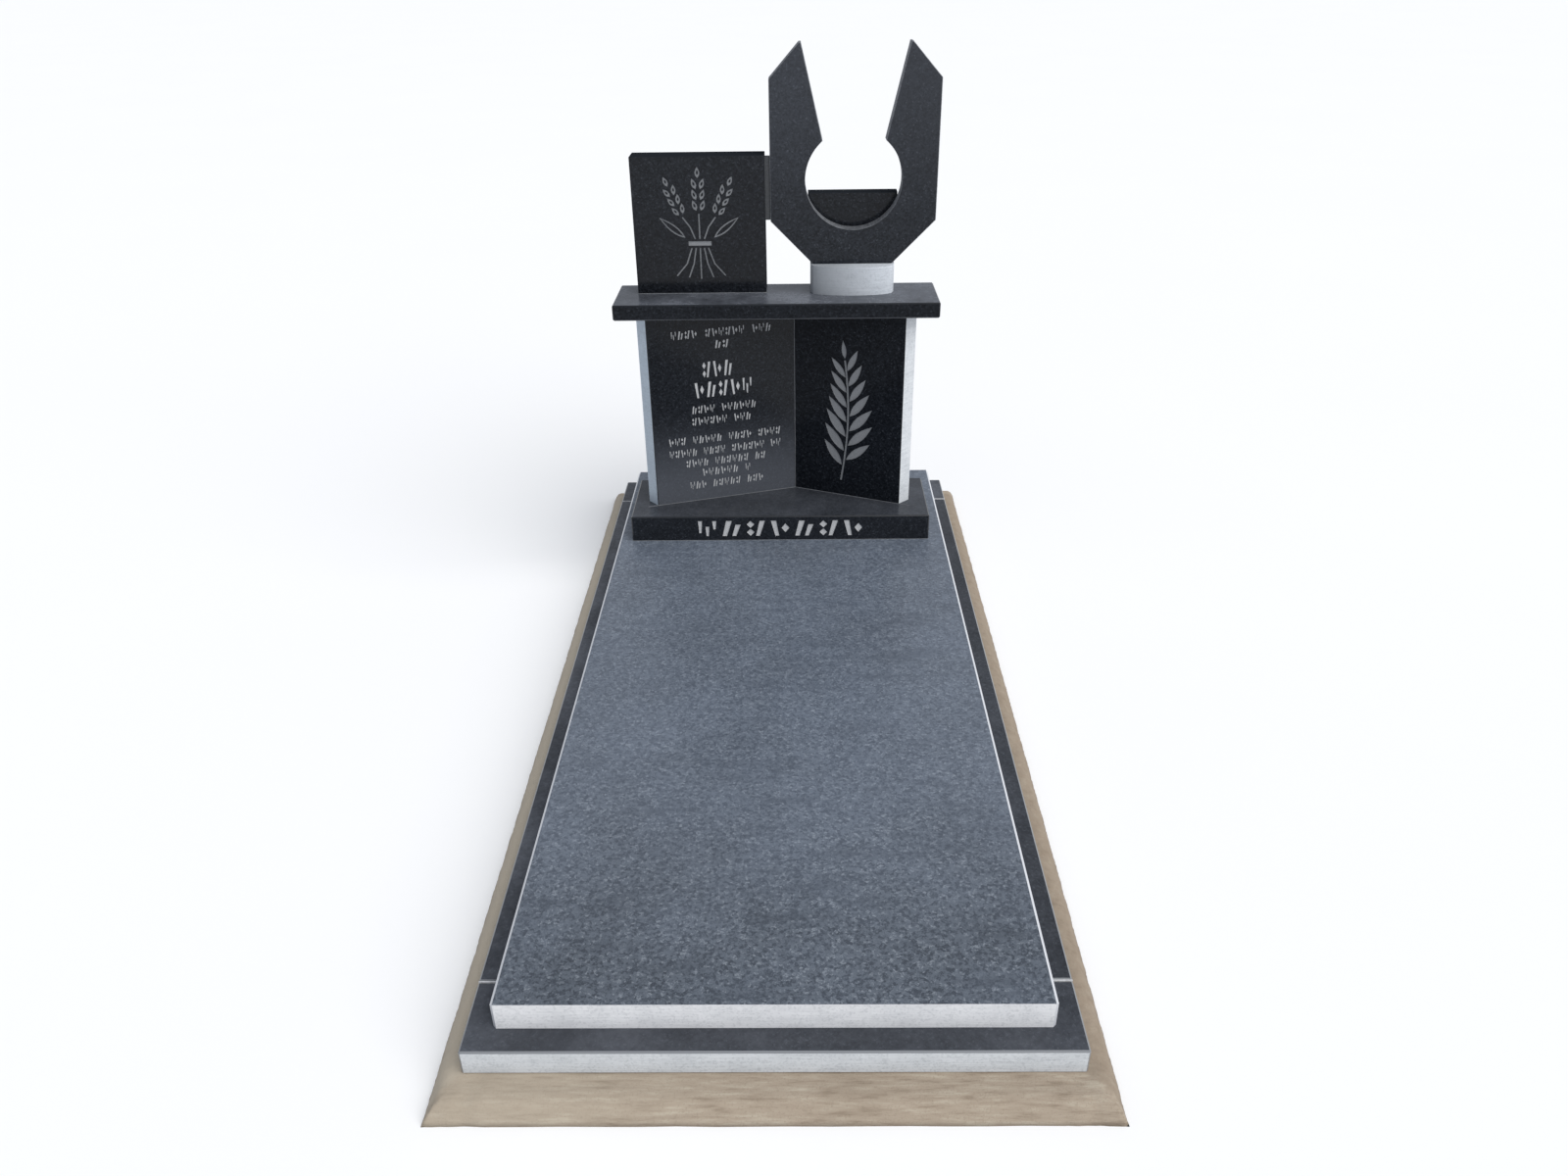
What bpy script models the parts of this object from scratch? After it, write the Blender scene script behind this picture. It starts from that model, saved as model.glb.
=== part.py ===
"""Granite grave memorial: a kerbed ledger with an open-book headstone.

A low mortar footing carries four kerbs, and the kerbs carry the ledger. At the
head of the ledger stands a plinth with two upright panels set as an open book,
a cap over them, and on the cap a square panel and a forked slab on a bowed neck
with a plain slab behind it.

X runs across the grave, Y from the foot end to the head, Z up. The origin is
the middle of the footing's underside. All sizes are in metres.
"""

import math

import bmesh
import bpy
from mathutils import Matrix, Vector

# Gap left between stones that touch, for the thin bed of adhesive.
BED = 0.0003

# Footing: mortar bed with sloped edges, cut flat at ground level.
FOOTING_HEIGHT = 0.034
FOOTING_SIDE = 0.052
FOOTING_FOOT = 0.073
FOOTING_HEAD = 0.053
FOOTING_SLOPE = 0.015

# Kerbs: bars laid as a frame, the end bars running the full width.
KERB_HEIGHT = 0.047
KERB_WIDTH = 0.140
KERB_LEDGE = 0.046
KERB_JOINT = 0.003
KERB_ARRIS = 0.003

# Ledger slab. Its arris runs along its sides and down its corners.
LEDGER_WIDTH = 0.900
LEDGER_LENGTH = 2.060
LEDGER_THICK = 0.054
LEDGER_ARRIS = 0.005

# Plinth of the headstone.
PLINTH_WIDTH = 0.818
PLINTH_DEPTH = 0.250
PLINTH_HEIGHT = 0.072
PLINTH_BEHIND = 0.2175
PLINTH_SHIFT = -0.004
PLINTH_ARRIS = 0.003

# Open book: two panels in a shallow V that meet at the spine.
BOOK_LEFT_REACH = 0.341
BOOK_RIGHT_REACH = 0.330
BOOK_HEIGHT = 0.536
BOOK_THICK = 0.038
BOOK_SPINE_X = 0.042
BOOK_SETBACK = 0.074
BOOK_V_DEPTH = 0.117
BOOK_END_SLANT = math.radians(25.0)
BOOK_JOINT = 0.001
BOOK_ARRIS = 0.0015

# Cap slab over the book.
CAP_WIDTH = 0.830
CAP_DEPTH = 0.195
CAP_THICK = 0.040
CAP_SETBACK = 0.035
CAP_SHIFT = -0.003
CAP_ARRIS = 0.003
CAP_UNDER_ARRIS = 0.004

# Line on the cap, behind its front edge, where the square panel and the fork stand.
STAND_LINE = 0.109

# Square panel on the left of the cap, beside the fork.
SQUARE_WIDTH = 0.334
SQUARE_HEIGHT = 0.338
SQUARE_THICK = 0.066
SQUARE_TO_FORK = 0.0135
SQUARE_ARRIS = 0.001

# Neck block under the fork, with a bowed front.
NECK_CENTRE = 0.193
NECK_WIDTH = 0.214
NECK_HEIGHT = 0.072
NECK_BOW = 0.038
NECK_BOW_FULLNESS = 0.8
NECK_STEPS = 36

# Forked slab: two pointed arms round a hole that is open at the top.
FORK_THICK = 0.045
FORK_HEIGHT = 0.517
FORK_WIDTH = 0.416
FORK_FOOT_WIDTH = 0.203
FORK_HIP_HEIGHT = 0.107
FORK_SHOULDER_HEIGHT = 0.438
FORK_TIP_SPREAD = 0.266
FORK_TIP_WIDTH = 0.005
FORK_THROAT_WIDTH = 0.156
FORK_HOLE_RADIUS = 0.121
FORK_HOLE_HEIGHT = 0.205
FORK_HOLE_STEPS = 72
FORK_ARRIS = 0.0015

# Plain slab that backs the foot of the fork. Its lower corners are cut off to the fork's foot.
BACK_SLAB_WIDTH = 0.226
BACK_SLAB_HEIGHT = 0.168
BACK_SLAB_CORNER = 0.012
BACK_SLAB_THICK = 0.040
BACK_SLAB_ARRIS = 0.002

# Cut work: every groove and pocket has the same depth.
CUT_DEPTH = 0.0015
CUT_PROUD = 0.002

# Margins from a panel's edges to its cut work.
INSCRIPTION_SIDE = 0.040
INSCRIPTION_TOP = 0.047
INSCRIPTION_FOOT = 0.036
SHEAF_SIDE = 0.062
SHEAF_FOOT = 0.034
SHEAF_TOP = 0.026
BRANCH_SIDE = 0.055
BRANCH_FOOT = 0.045
BRANCH_TOP = 0.085
PLINTH_MARKS_SIDE = 0.175
PLINTH_MARKS_EDGE = 0.013

# Line widths of the cut work, and the stone left between a stem and its leaves.
SHEAF_LINE = 0.0036
BRANCH_STEM = 0.0050
LEAF_CLEARANCE = 0.0040

# Leaves: how far up they are widest (1 is the middle, less is nearer the foot), how many
# line widths an outlined leaf is hollow from its pointed ends, and the points on each
# side of a large leaf and of a grain.
LEAF_SWELL = 0.85
LEAF_POINT_INSET = 2.2
LEAF_STEPS = 6
GRAIN_STEPS = 4

# Olive branch: number of leaf pairs, points on the stem, and how the leaves turn from it.
BRANCH_PAIRS = 7
BRANCH_STEM_STEPS = 14
LEAF_TURN = math.radians(44.0)
LEAF_TURN_LESS = math.radians(2.0)

# Olive branch as shares of its own height: top of the stem, lowest leaf, step from
# pair to pair, how much higher the left leaf of a pair sits, and the leaves' sizes.
STEM_TOP = 0.86
LEAF_START = 0.10
LEAF_STEP = 0.105
LEAF_STAGGER = 0.045
LEAF_LENGTH = 0.245
LEAF_TAPER = 0.018
LONGEST_PAIR = 1.5
TIP_LEAF_LENGTH = 0.125
# Width of a leaf as a share of its own length.
LEAF_SLIMNESS = 0.26

# The stem's curve: its middle and sway as shares of the branch's width, and its turns.
STEM_MIDDLE = 0.38
STEM_SWAY = 0.13
STEM_TURN = 2.6
STEM_START = 0.3

# Sheaf of wheat: turn of the outer ears and of the two low leaves from upright.
EAR_TURN = math.radians(24.0)
GRAIN_TURN = math.radians(20.0)
BLADE_TURN = math.radians(52.0)

# Sheaf as shares of its own height: the tie's two edges, the bend and top of the
# outer and middle stalks, the ears, the straw ends and the low leaves.
TIE_LOW = 0.315
TIE_HIGH = 0.355
TIE_GAP = 0.020
STALK_BEND = 0.48
STALK_TOP = 0.60
STALK_TOP_LESS = 0.03
EAR_HEIGHT = 0.38
EAR_HEIGHT_LESS = 0.02
STRAW_BEND = 0.15
STRAW_END = 0.01
STRAW_END_RISE = 0.015
BLADE_GAP = 0.03
BLADE_LENGTH = 0.30
BLADE_WIDTH = 0.065

# Sheaf as shares of its own width, outwards from its middle.
STALK_FOOT_REACH = 0.055
STALK_BEND_REACH = 0.11
STALK_TOP_REACH = 0.20
STRAW_TOP_REACH = 0.05
STRAW_BEND_REACH = 0.085
STRAW_END_REACH = 0.15
TIE_REACH = 0.14
BLADE_REACH = 0.17

# An ear: pairs of grains, and a grain's size and place as shares of the ear's length.
EAR_PAIRS = 3
GRAIN_LENGTH = 0.26
# A grain's width and its distance from the ear's middle, as shares of its own length.
GRAIN_WIDTH = 0.46
GRAIN_OFFSET = 0.20

# Rows of marks on the left panel: height of the middle of the row as a share of the
# inscription's height, width as a share of its width, height of the marks as a share
# of its height, and the number of marks.
INSCRIPTION_ROWS = (
    (0.975, 0.86, 0.048, 15),
    (0.902, 0.13, 0.048, 2),
    (0.755, 0.37, 0.095, 4),
    (0.632, 0.52, 0.095, 5),
    (0.512, 0.57, 0.048, 11),
    (0.438, 0.58, 0.048, 11),
    (0.321, 1.00, 0.048, 19),
    (0.243, 1.00, 0.048, 20),
    (0.171, 0.72, 0.048, 14),
    (0.103, 0.44, 0.048, 8),
    (0.024, 0.67, 0.048, 13),
)

# Marks on the plinth, how much of its own place a mark fills, and the numbers of marks
# between blanks, taken in turn.
PLINTH_MARKS = 7
MARK_FILL = 0.80
MARK_GROUPS = (4, 6, 3, 5)

# The four kinds of mark. A mark is a few separate strokes, and a stroke is its corners as
# shares of the mark's half width and half height.
MARK_KINDS = (
    (((-0.95, 1.00), (-0.52, 1.00), (-0.62, -0.60), (-0.85, -0.60)),
     ((-0.20, 0.25), (0.20, 0.25), (0.12, -1.00), (-0.12, -1.00)),
     ((0.52, 1.00), (0.95, 1.00), (0.85, -0.10), (0.62, -0.10))),
    (((-0.95, -1.00), (-0.50, -1.00), (0.05, 1.00), (-0.55, 1.00)),
     ((0.05, -1.00), (0.45, -1.00), (0.95, 0.50), (0.40, 0.50))),
    (((-0.95, 0.52), (-0.55, 0.06), (-0.15, 0.52), (-0.55, 1.00)),
     ((-0.95, -0.52), (-0.55, -1.00), (-0.15, -0.52), (-0.55, -0.06)),
     ((0.00, -1.00), (0.40, -1.00), (0.95, 1.00), (0.40, 1.00))),
    (((-0.95, 1.00), (-0.40, 1.00), (-0.10, -1.00), (-0.50, -1.00)),
     ((0.15, 0.05), (0.55, -0.55), (0.95, 0.05), (0.55, 0.65))),
)

# Edges that turn less than this are shaded smooth on the round faces.
SMOOTH_ANGLE = math.radians(30.0)

# Lines of the plan, worked out from the sizes above.
KERB_OUT_WIDTH = LEDGER_WIDTH + 2 * KERB_LEDGE
KERB_OUT_LENGTH = LEDGER_LENGTH + 2 * KERB_LEDGE
FOOTING_WIDTH = KERB_OUT_WIDTH + 2 * FOOTING_SIDE
FOOTING_LENGTH = KERB_OUT_LENGTH + FOOTING_FOOT + FOOTING_HEAD
FOOTING_Y0 = -FOOTING_LENGTH / 2
KERB_Y0 = FOOTING_Y0 + FOOTING_FOOT
KERB_Y1 = KERB_Y0 + KERB_OUT_LENGTH
LEDGER_Y0 = KERB_Y0 + KERB_LEDGE
LEDGER_Y1 = LEDGER_Y0 + LEDGER_LENGTH
PLINTH_Y1 = LEDGER_Y1 - PLINTH_BEHIND
PLINTH_Y0 = PLINTH_Y1 - PLINTH_DEPTH
BOOK_Y0 = PLINTH_Y0 + BOOK_SETBACK
SPINE_X = PLINTH_SHIFT + BOOK_SPINE_X
SPINE_Y = BOOK_Y0 + BOOK_V_DEPTH
CAP_Y0 = PLINTH_Y0 + CAP_SETBACK
CAP_X0 = PLINTH_SHIFT + CAP_SHIFT - CAP_WIDTH / 2
STAND_Y = CAP_Y0 + STAND_LINE
NECK_X = PLINTH_SHIFT + NECK_CENTRE
SQUARE_X0 = NECK_X - FORK_WIDTH / 2 - SQUARE_TO_FORK - SQUARE_WIDTH
BACK_SLAB_Y0 = STAND_Y + FORK_THICK + BED
NECK_Y1 = BACK_SLAB_Y0 + BACK_SLAB_THICK

# Levels, from the ground up.
KERB_Z0 = FOOTING_HEIGHT + BED
KERB_Z1 = KERB_Z0 + KERB_HEIGHT
LEDGER_Z0 = KERB_Z1 + BED
LEDGER_Z1 = LEDGER_Z0 + LEDGER_THICK
PLINTH_Z0 = LEDGER_Z1 + BED
PLINTH_Z1 = PLINTH_Z0 + PLINTH_HEIGHT
BOOK_Z0 = PLINTH_Z1 + BED
BOOK_Z1 = BOOK_Z0 + BOOK_HEIGHT
CAP_Z0 = BOOK_Z1 + BED
CAP_Z1 = CAP_Z0 + CAP_THICK
STAND_Z = CAP_Z1 + BED
NECK_Z1 = STAND_Z + NECK_HEIGHT
FORK_Z0 = NECK_Z1 + BED

# Finishes: colour, roughness and metallic value.
POLISHED = ("polished granite", (0.035, 0.040, 0.050), 0.12, 0.0)
LEDGER_FACE = ("ledger granite", (0.085, 0.100, 0.125), 0.22, 0.0)
SAWN = ("sawn granite", (0.400, 0.410, 0.430), 0.75, 0.0)
MORTAR = ("footing mortar", (0.390, 0.320, 0.235), 0.90, 0.0)


def clear_scene():
    """Take everything out of the open scene."""
    for old in list(bpy.data.objects):
        bpy.data.objects.remove(old, do_unlink=True)


def finish_material(finish):
    """One Principled material for each finish, made once."""
    name, colour, roughness, metallic = finish
    material = bpy.data.materials.get(name)
    if material:
        return material
    material = bpy.data.materials.new(name)
    material.use_nodes = True
    shader = material.node_tree.nodes["Principled BSDF"]
    shader.inputs["Base Color"].default_value = (*colour, 1.0)
    shader.inputs["Roughness"].default_value = roughness
    shader.inputs["Metallic"].default_value = metallic
    return material


def add_object(name, mesh_maker, finish):
    """Turn a bmesh into a named object with its finish."""
    bmesh.ops.recalc_face_normals(mesh_maker, faces=mesh_maker.faces)
    mesh = bpy.data.meshes.new(name)
    mesh_maker.to_mesh(mesh)
    mesh_maker.free()
    mesh.materials.append(finish_material(finish))
    made = bpy.data.objects.new(name, mesh)
    bpy.context.scene.collection.objects.link(made)
    return made


def add_prism(mesh_maker, low_ring, high_ring):
    """Close two rings of equal length into a solid. Return its two end faces."""
    low = [mesh_maker.verts.new(point) for point in low_ring]
    high = [mesh_maker.verts.new(point) for point in high_ring]
    ends = (mesh_maker.faces.new(low[::-1]), mesh_maker.faces.new(high))
    count = len(low)
    for i in range(count):
        j = (i + 1) % count
        mesh_maker.faces.new((low[i], low[j], high[j], high[i]))
    return ends


def cut_arris(mesh_maker, edges, width):
    """Take a narrow flat arris off the given edges."""
    if width > 0.0:
        bmesh.ops.bevel(mesh_maker, geom=list(edges), offset=width, offset_type="OFFSET",
                        segments=1, profile=0.5, affect="EDGES", clamp_overlap=True)


def add_slab(name, low, high, arris, finish, ends=True, under_arris=0.0):
    """A sawn slab with its upright edges and its upper edges arrised.

    Without ends, the upper edges across the slab stay sharp. The under arris is the one
    along the four lower edges.
    """
    maker = bmesh.new()
    corners = ((low[0], low[1]), (high[0], low[1]), (high[0], high[1]), (low[0], high[1]))
    under = [(x, y, low[2]) for x, y in corners]
    over = [(x, y, high[2]) for x, y in corners]
    lower_face, _ = add_prism(maker, under, over)
    cut_arris(maker, lower_face.edges, under_arris)
    edges = [edge for edge in maker.edges if max(vert.co.z for vert in edge.verts) > high[2] - BED]
    if not ends:
        edges = [edge for edge in edges if abs(edge.verts[0].co.x - edge.verts[1].co.x) < BED]
    cut_arris(maker, edges, arris)
    return add_object(name, maker, finish)


def face_frame(origin, along):
    """Frame of an upright face: first axis along it, second into it, third up."""
    along = Vector(along).normalized()
    inward = Vector((-along.y, along.x, 0.0))
    frame = Matrix((along, inward, Vector((0.0, 0.0, 1.0)))).transposed().to_4x4()
    frame.translation = Vector(origin)
    return frame


def cut_pocket(maker, outline):
    """Add one filled cutter whose outline is in face coordinates."""
    add_prism(maker, [(u, -CUT_PROUD, v) for u, v in outline], [(u, CUT_DEPTH, v) for u, v in outline])


def cut_loop(maker, outer, inner):
    """Add one closed band as a cutter, between two outlines of equal length."""
    rings = []
    for outline in (outer, inner):
        for depth in (-CUT_PROUD, CUT_DEPTH):
            rings.append([maker.verts.new((u, depth, v)) for u, v in outline])
    outer_front, outer_deep, inner_front, inner_deep = rings
    count = len(outer)
    for first, second in ((outer_front, inner_front), (inner_front, inner_deep),
                          (inner_deep, outer_deep), (outer_deep, outer_front)):
        for i in range(count):
            j = (i + 1) % count
            maker.faces.new((first[i], first[j], second[j], second[i]))


def cut_line(maker, points, width):
    """Add one open line of even width as a cutter."""
    left = []
    right = []
    last = len(points) - 1
    for i, point in enumerate(points):
        ahead = Vector(points[min(i + 1, last)]) - Vector(points[max(i - 1, 0)])
        side = Vector((-ahead.y, ahead.x)).normalized() * (width / 2)
        left.append(tuple(Vector(point) + side))
        right.append(tuple(Vector(point) - side))
    cut_pocket(maker, right + left[::-1])


def leaf_outline(foot, angle, length, width, steps):
    """Pointed leaf from its foot, turned to an angle, with steps points on each side."""
    ahead = Vector((math.cos(angle), math.sin(angle)))
    side = Vector((-ahead.y, ahead.x))
    outline = []
    for sign in (-1.0, 1.0):
        for i in range(steps):
            share = i / steps if sign < 0 else 1.0 - i / steps
            swell = math.sin(math.pi * share ** LEAF_SWELL) * width / 2
            outline.append(tuple(Vector(foot) + ahead * (share * length) + side * (sign * swell)))
    return outline


def shrink_leaf(outline, width):
    """Outline drawn in towards its own middle by about the given line width."""
    middle = sum((Vector(point) for point in outline), Vector((0.0, 0.0))) / len(outline)
    long_axis = (Vector(outline[0]) - Vector(outline[len(outline) // 2])).normalized()
    shrunk = []
    reach_along = max(abs((Vector(point) - middle).dot(long_axis)) for point in outline)
    across = Vector((-long_axis.y, long_axis.x))
    reach_across = max(abs((Vector(point) - middle).dot(across)) for point in outline)
    for point in outline:
        offset = Vector(point) - middle
        along_part = offset.dot(long_axis) * (1.0 - LEAF_POINT_INSET * width / reach_along)
        across_part = offset.dot(across) * (1.0 - width / reach_across)
        shrunk.append(tuple(middle + long_axis * along_part + across * across_part))
    return shrunk


def cut_mark(maker, index, centre, pitch, height):
    """One mark of a few strokes. The kinds take turns, and none of them is a letter."""
    half = pitch * MARK_FILL / 2
    rise = height / 2
    count = len(MARK_KINDS)
    for stroke in MARK_KINDS[(index + index // count) % count]:
        cut_pocket(maker, [(centre[0] + half * across, centre[1] + rise * up) for across, up in stroke])


def cut_row(maker, row, middle, width, height, count):
    """A row of marks about its middle, with a blank after each group."""
    pitch = width / count
    group = row
    left_in_group = MARK_GROUPS[group % len(MARK_GROUPS)]
    for i in range(count):
        if left_in_group:
            centre = (middle[0] - width / 2 + (i + 0.5) * pitch, middle[1])
            cut_mark(maker, row + i, centre, pitch, height)
            left_in_group -= 1
        else:
            group += 1
            left_in_group = MARK_GROUPS[group % len(MARK_GROUPS)]


def carve(stone, maker, frame):
    """Cut the collected outlines into the face of a stone."""
    bmesh.ops.transform(maker, matrix=frame, verts=maker.verts)
    cutter = add_object(stone.name + "_cutter", maker, SAWN)
    cutter.hide_render = True
    cutter.display_type = "WIRE"
    cut = stone.modifiers.new("cut work", "BOOLEAN")
    cut.operation = "DIFFERENCE"
    cut.solver = "EXACT"
    cut.object = cutter


def add_footing():
    """Mortar bed with sloped edges under the kerbs."""
    maker = bmesh.new()
    rings = []
    for slope, level in ((0.0, 0.0), (FOOTING_SLOPE, FOOTING_HEIGHT)):
        x = FOOTING_WIDTH / 2 - slope
        y = FOOTING_LENGTH / 2 - slope
        rings.append([(-x, -y, level), (x, -y, level), (x, y, level), (-x, y, level)])
    add_prism(maker, *rings)
    add_object("footing", maker, MORTAR)


def add_kerbs():
    """Four bars: the two end bars run through, the side bars butt against them."""
    half = KERB_OUT_WIDTH / 2
    inner_y0 = KERB_Y0 + KERB_WIDTH + KERB_JOINT
    inner_y1 = KERB_Y1 - KERB_WIDTH - KERB_JOINT
    bars = {
        "kerb_foot": ((-half, KERB_Y0), (half, KERB_Y0 + KERB_WIDTH)),
        "kerb_head": ((-half, KERB_Y1 - KERB_WIDTH), (half, KERB_Y1)),
        "kerb_left": ((-half, inner_y0), (-half + KERB_WIDTH, inner_y1)),
        "kerb_right": ((half - KERB_WIDTH, inner_y0), (half, inner_y1)),
    }
    for name, (low, high) in bars.items():
        add_slab(name, (*low, KERB_Z0), (*high, KERB_Z1), KERB_ARRIS, POLISHED)


def add_ledger():
    """Large slab that covers the grave."""
    half = LEDGER_WIDTH / 2
    add_slab("ledger", (-half, LEDGER_Y0, LEDGER_Z0), (half, LEDGER_Y1, LEDGER_Z1),
             LEDGER_ARRIS, LEDGER_FACE, ends=False)


def add_plinth():
    """Base of the headstone, with one row of large marks on its front."""
    x0 = PLINTH_SHIFT - PLINTH_WIDTH / 2
    plinth = add_slab("plinth", (x0, PLINTH_Y0, PLINTH_Z0), (x0 + PLINTH_WIDTH, PLINTH_Y1, PLINTH_Z1),
                      PLINTH_ARRIS, POLISHED)
    maker = bmesh.new()
    height = PLINTH_HEIGHT - 2 * PLINTH_MARKS_EDGE
    width = PLINTH_WIDTH - 2 * PLINTH_MARKS_SIDE
    pitch = width / PLINTH_MARKS
    for i in range(PLINTH_MARKS):
        centre = (PLINTH_MARKS_SIDE + (i + 0.5) * pitch, PLINTH_HEIGHT / 2)
        cut_mark(maker, i, centre, pitch, height)
    carve(plinth, maker, face_frame((x0, PLINTH_Y0, PLINTH_Z0), (1.0, 0.0, 0.0)))


def add_book_panel(name, outer_x, side):
    """One leaf of the book. Return it with its face length, for the cut work."""
    outer = Vector((outer_x, BOOK_Y0))
    spine = Vector((SPINE_X + side * BOOK_JOINT / 2, SPINE_Y))
    along = (spine - outer).normalized()
    inward = Vector((-along.y, along.x)) * -side
    slant = BOOK_THICK * math.tan(BOOK_END_SLANT)
    outer_back = outer + inward * BOOK_THICK - along * slant
    spine_back = Vector((spine.x, spine.y + BOOK_THICK / abs(along.x)))
    plan = (outer, spine, spine_back, outer_back)
    maker = bmesh.new()
    add_prism(maker, [(p.x, p.y, BOOK_Z0) for p in plan], [(p.x, p.y, BOOK_Z1) for p in plan])
    upright = [edge for edge in maker.edges
               if abs(edge.verts[0].co.z - edge.verts[1].co.z) > BOOK_THICK
               and abs(edge.verts[0].co.x - spine.x) > BOOK_THICK]
    cut_arris(maker, upright, BOOK_ARRIS)
    return add_object(name, maker, POLISHED), outer, spine


def add_book_left():
    """Wider leaf, with the rows of marks."""
    panel, outer, spine = add_book_panel("book_left", PLINTH_SHIFT - BOOK_LEFT_REACH, -1.0)
    along = spine - outer
    maker = bmesh.new()
    width = along.length - 2 * INSCRIPTION_SIDE
    height = BOOK_HEIGHT - INSCRIPTION_TOP - INSCRIPTION_FOOT
    for row, (level, share, mark_share, count) in enumerate(INSCRIPTION_ROWS):
        middle = (along.length / 2, INSCRIPTION_FOOT + level * height)
        cut_row(maker, row, middle, share * width, mark_share * height, count)
    carve(panel, maker, face_frame((*outer, BOOK_Z0), (*along, 0.0)))


def branch_point(share, width, height):
    """Point on the branch's stem, which bends gently to one side and back."""
    sway = math.sin(STEM_TURN * share + STEM_START)
    return (width * (STEM_MIDDLE + STEM_SWAY * sway), height * share)


def add_book_right():
    """Narrower leaf, with an olive branch cut as filled leaves on a thin stem."""
    panel, outer, spine = add_book_panel("book_right", PLINTH_SHIFT + BOOK_RIGHT_REACH, 1.0)
    along = outer - spine
    width = along.length - 2 * BRANCH_SIDE
    height = BOOK_HEIGHT - BRANCH_TOP - BRANCH_FOOT
    maker = bmesh.new()

    def place(point):
        return (BRANCH_SIDE + point[0], BRANCH_FOOT + point[1])

    stem = [place(branch_point(STEM_TOP * i / BRANCH_STEM_STEPS, width, height))
            for i in range(BRANCH_STEM_STEPS + 1)]
    cut_line(maker, stem, BRANCH_STEM)
    for i in range(BRANCH_PAIRS):
        length = height * (LEAF_LENGTH - LEAF_TAPER * abs(i - LONGEST_PAIR))
        for side in (-1.0, 1.0):
            share = LEAF_START + LEAF_STEP * i + (LEAF_STAGGER if side > 0 else 0.0)
            base = Vector(place(branch_point(share, width, height)))
            ahead = Vector(place(branch_point(share + LEAF_STAGGER / 2, width, height))) - base
            heading = math.atan2(ahead.y, ahead.x) - side * (LEAF_TURN - LEAF_TURN_LESS * i)
            reach = Vector((math.cos(heading), math.sin(heading)))
            foot = base + reach * (BRANCH_STEM / 2 + LEAF_CLEARANCE)
            cut_pocket(maker, leaf_outline(foot, heading, length, length * LEAF_SLIMNESS, LEAF_STEPS))
    tip = Vector(stem[-1])
    ahead = tip - Vector(stem[-2])
    heading = math.atan2(ahead.y, ahead.x)
    foot = tip + ahead.normalized() * LEAF_CLEARANCE
    length = height * TIP_LEAF_LENGTH
    cut_pocket(maker, leaf_outline(foot, heading, length, length * LEAF_SLIMNESS, LEAF_STEPS))
    carve(panel, maker, face_frame((*spine, BOOK_Z0), (*along, 0.0)))


def add_cap():
    """Slab that lies over both leaves of the book."""
    add_slab("cap", (CAP_X0, CAP_Y0, CAP_Z0), (CAP_X0 + CAP_WIDTH, CAP_Y0 + CAP_DEPTH, CAP_Z1),
             CAP_ARRIS, POLISHED, under_arris=CAP_UNDER_ARRIS)


def cut_wheat_ear(maker, foot, heading, length):
    """One ear of wheat: pairs of outlined grains up to a single one at the tip."""
    ahead = Vector((math.cos(heading), math.sin(heading)))
    side = Vector((-ahead.y, ahead.x))
    grain = length * GRAIN_LENGTH
    step = (length - grain) / EAR_PAIRS
    places = [(i, sign) for i in range(EAR_PAIRS) for sign in (-1.0, 1.0)] + [(EAR_PAIRS, 0.0)]
    for i, sign in places:
        base = Vector(foot) + ahead * (i * step) + side * (sign * grain * GRAIN_OFFSET)
        outline = leaf_outline(base, heading + sign * GRAIN_TURN, grain, grain * GRAIN_WIDTH, GRAIN_STEPS)
        cut_loop(maker, outline, shrink_leaf(outline, SHEAF_LINE))


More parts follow.
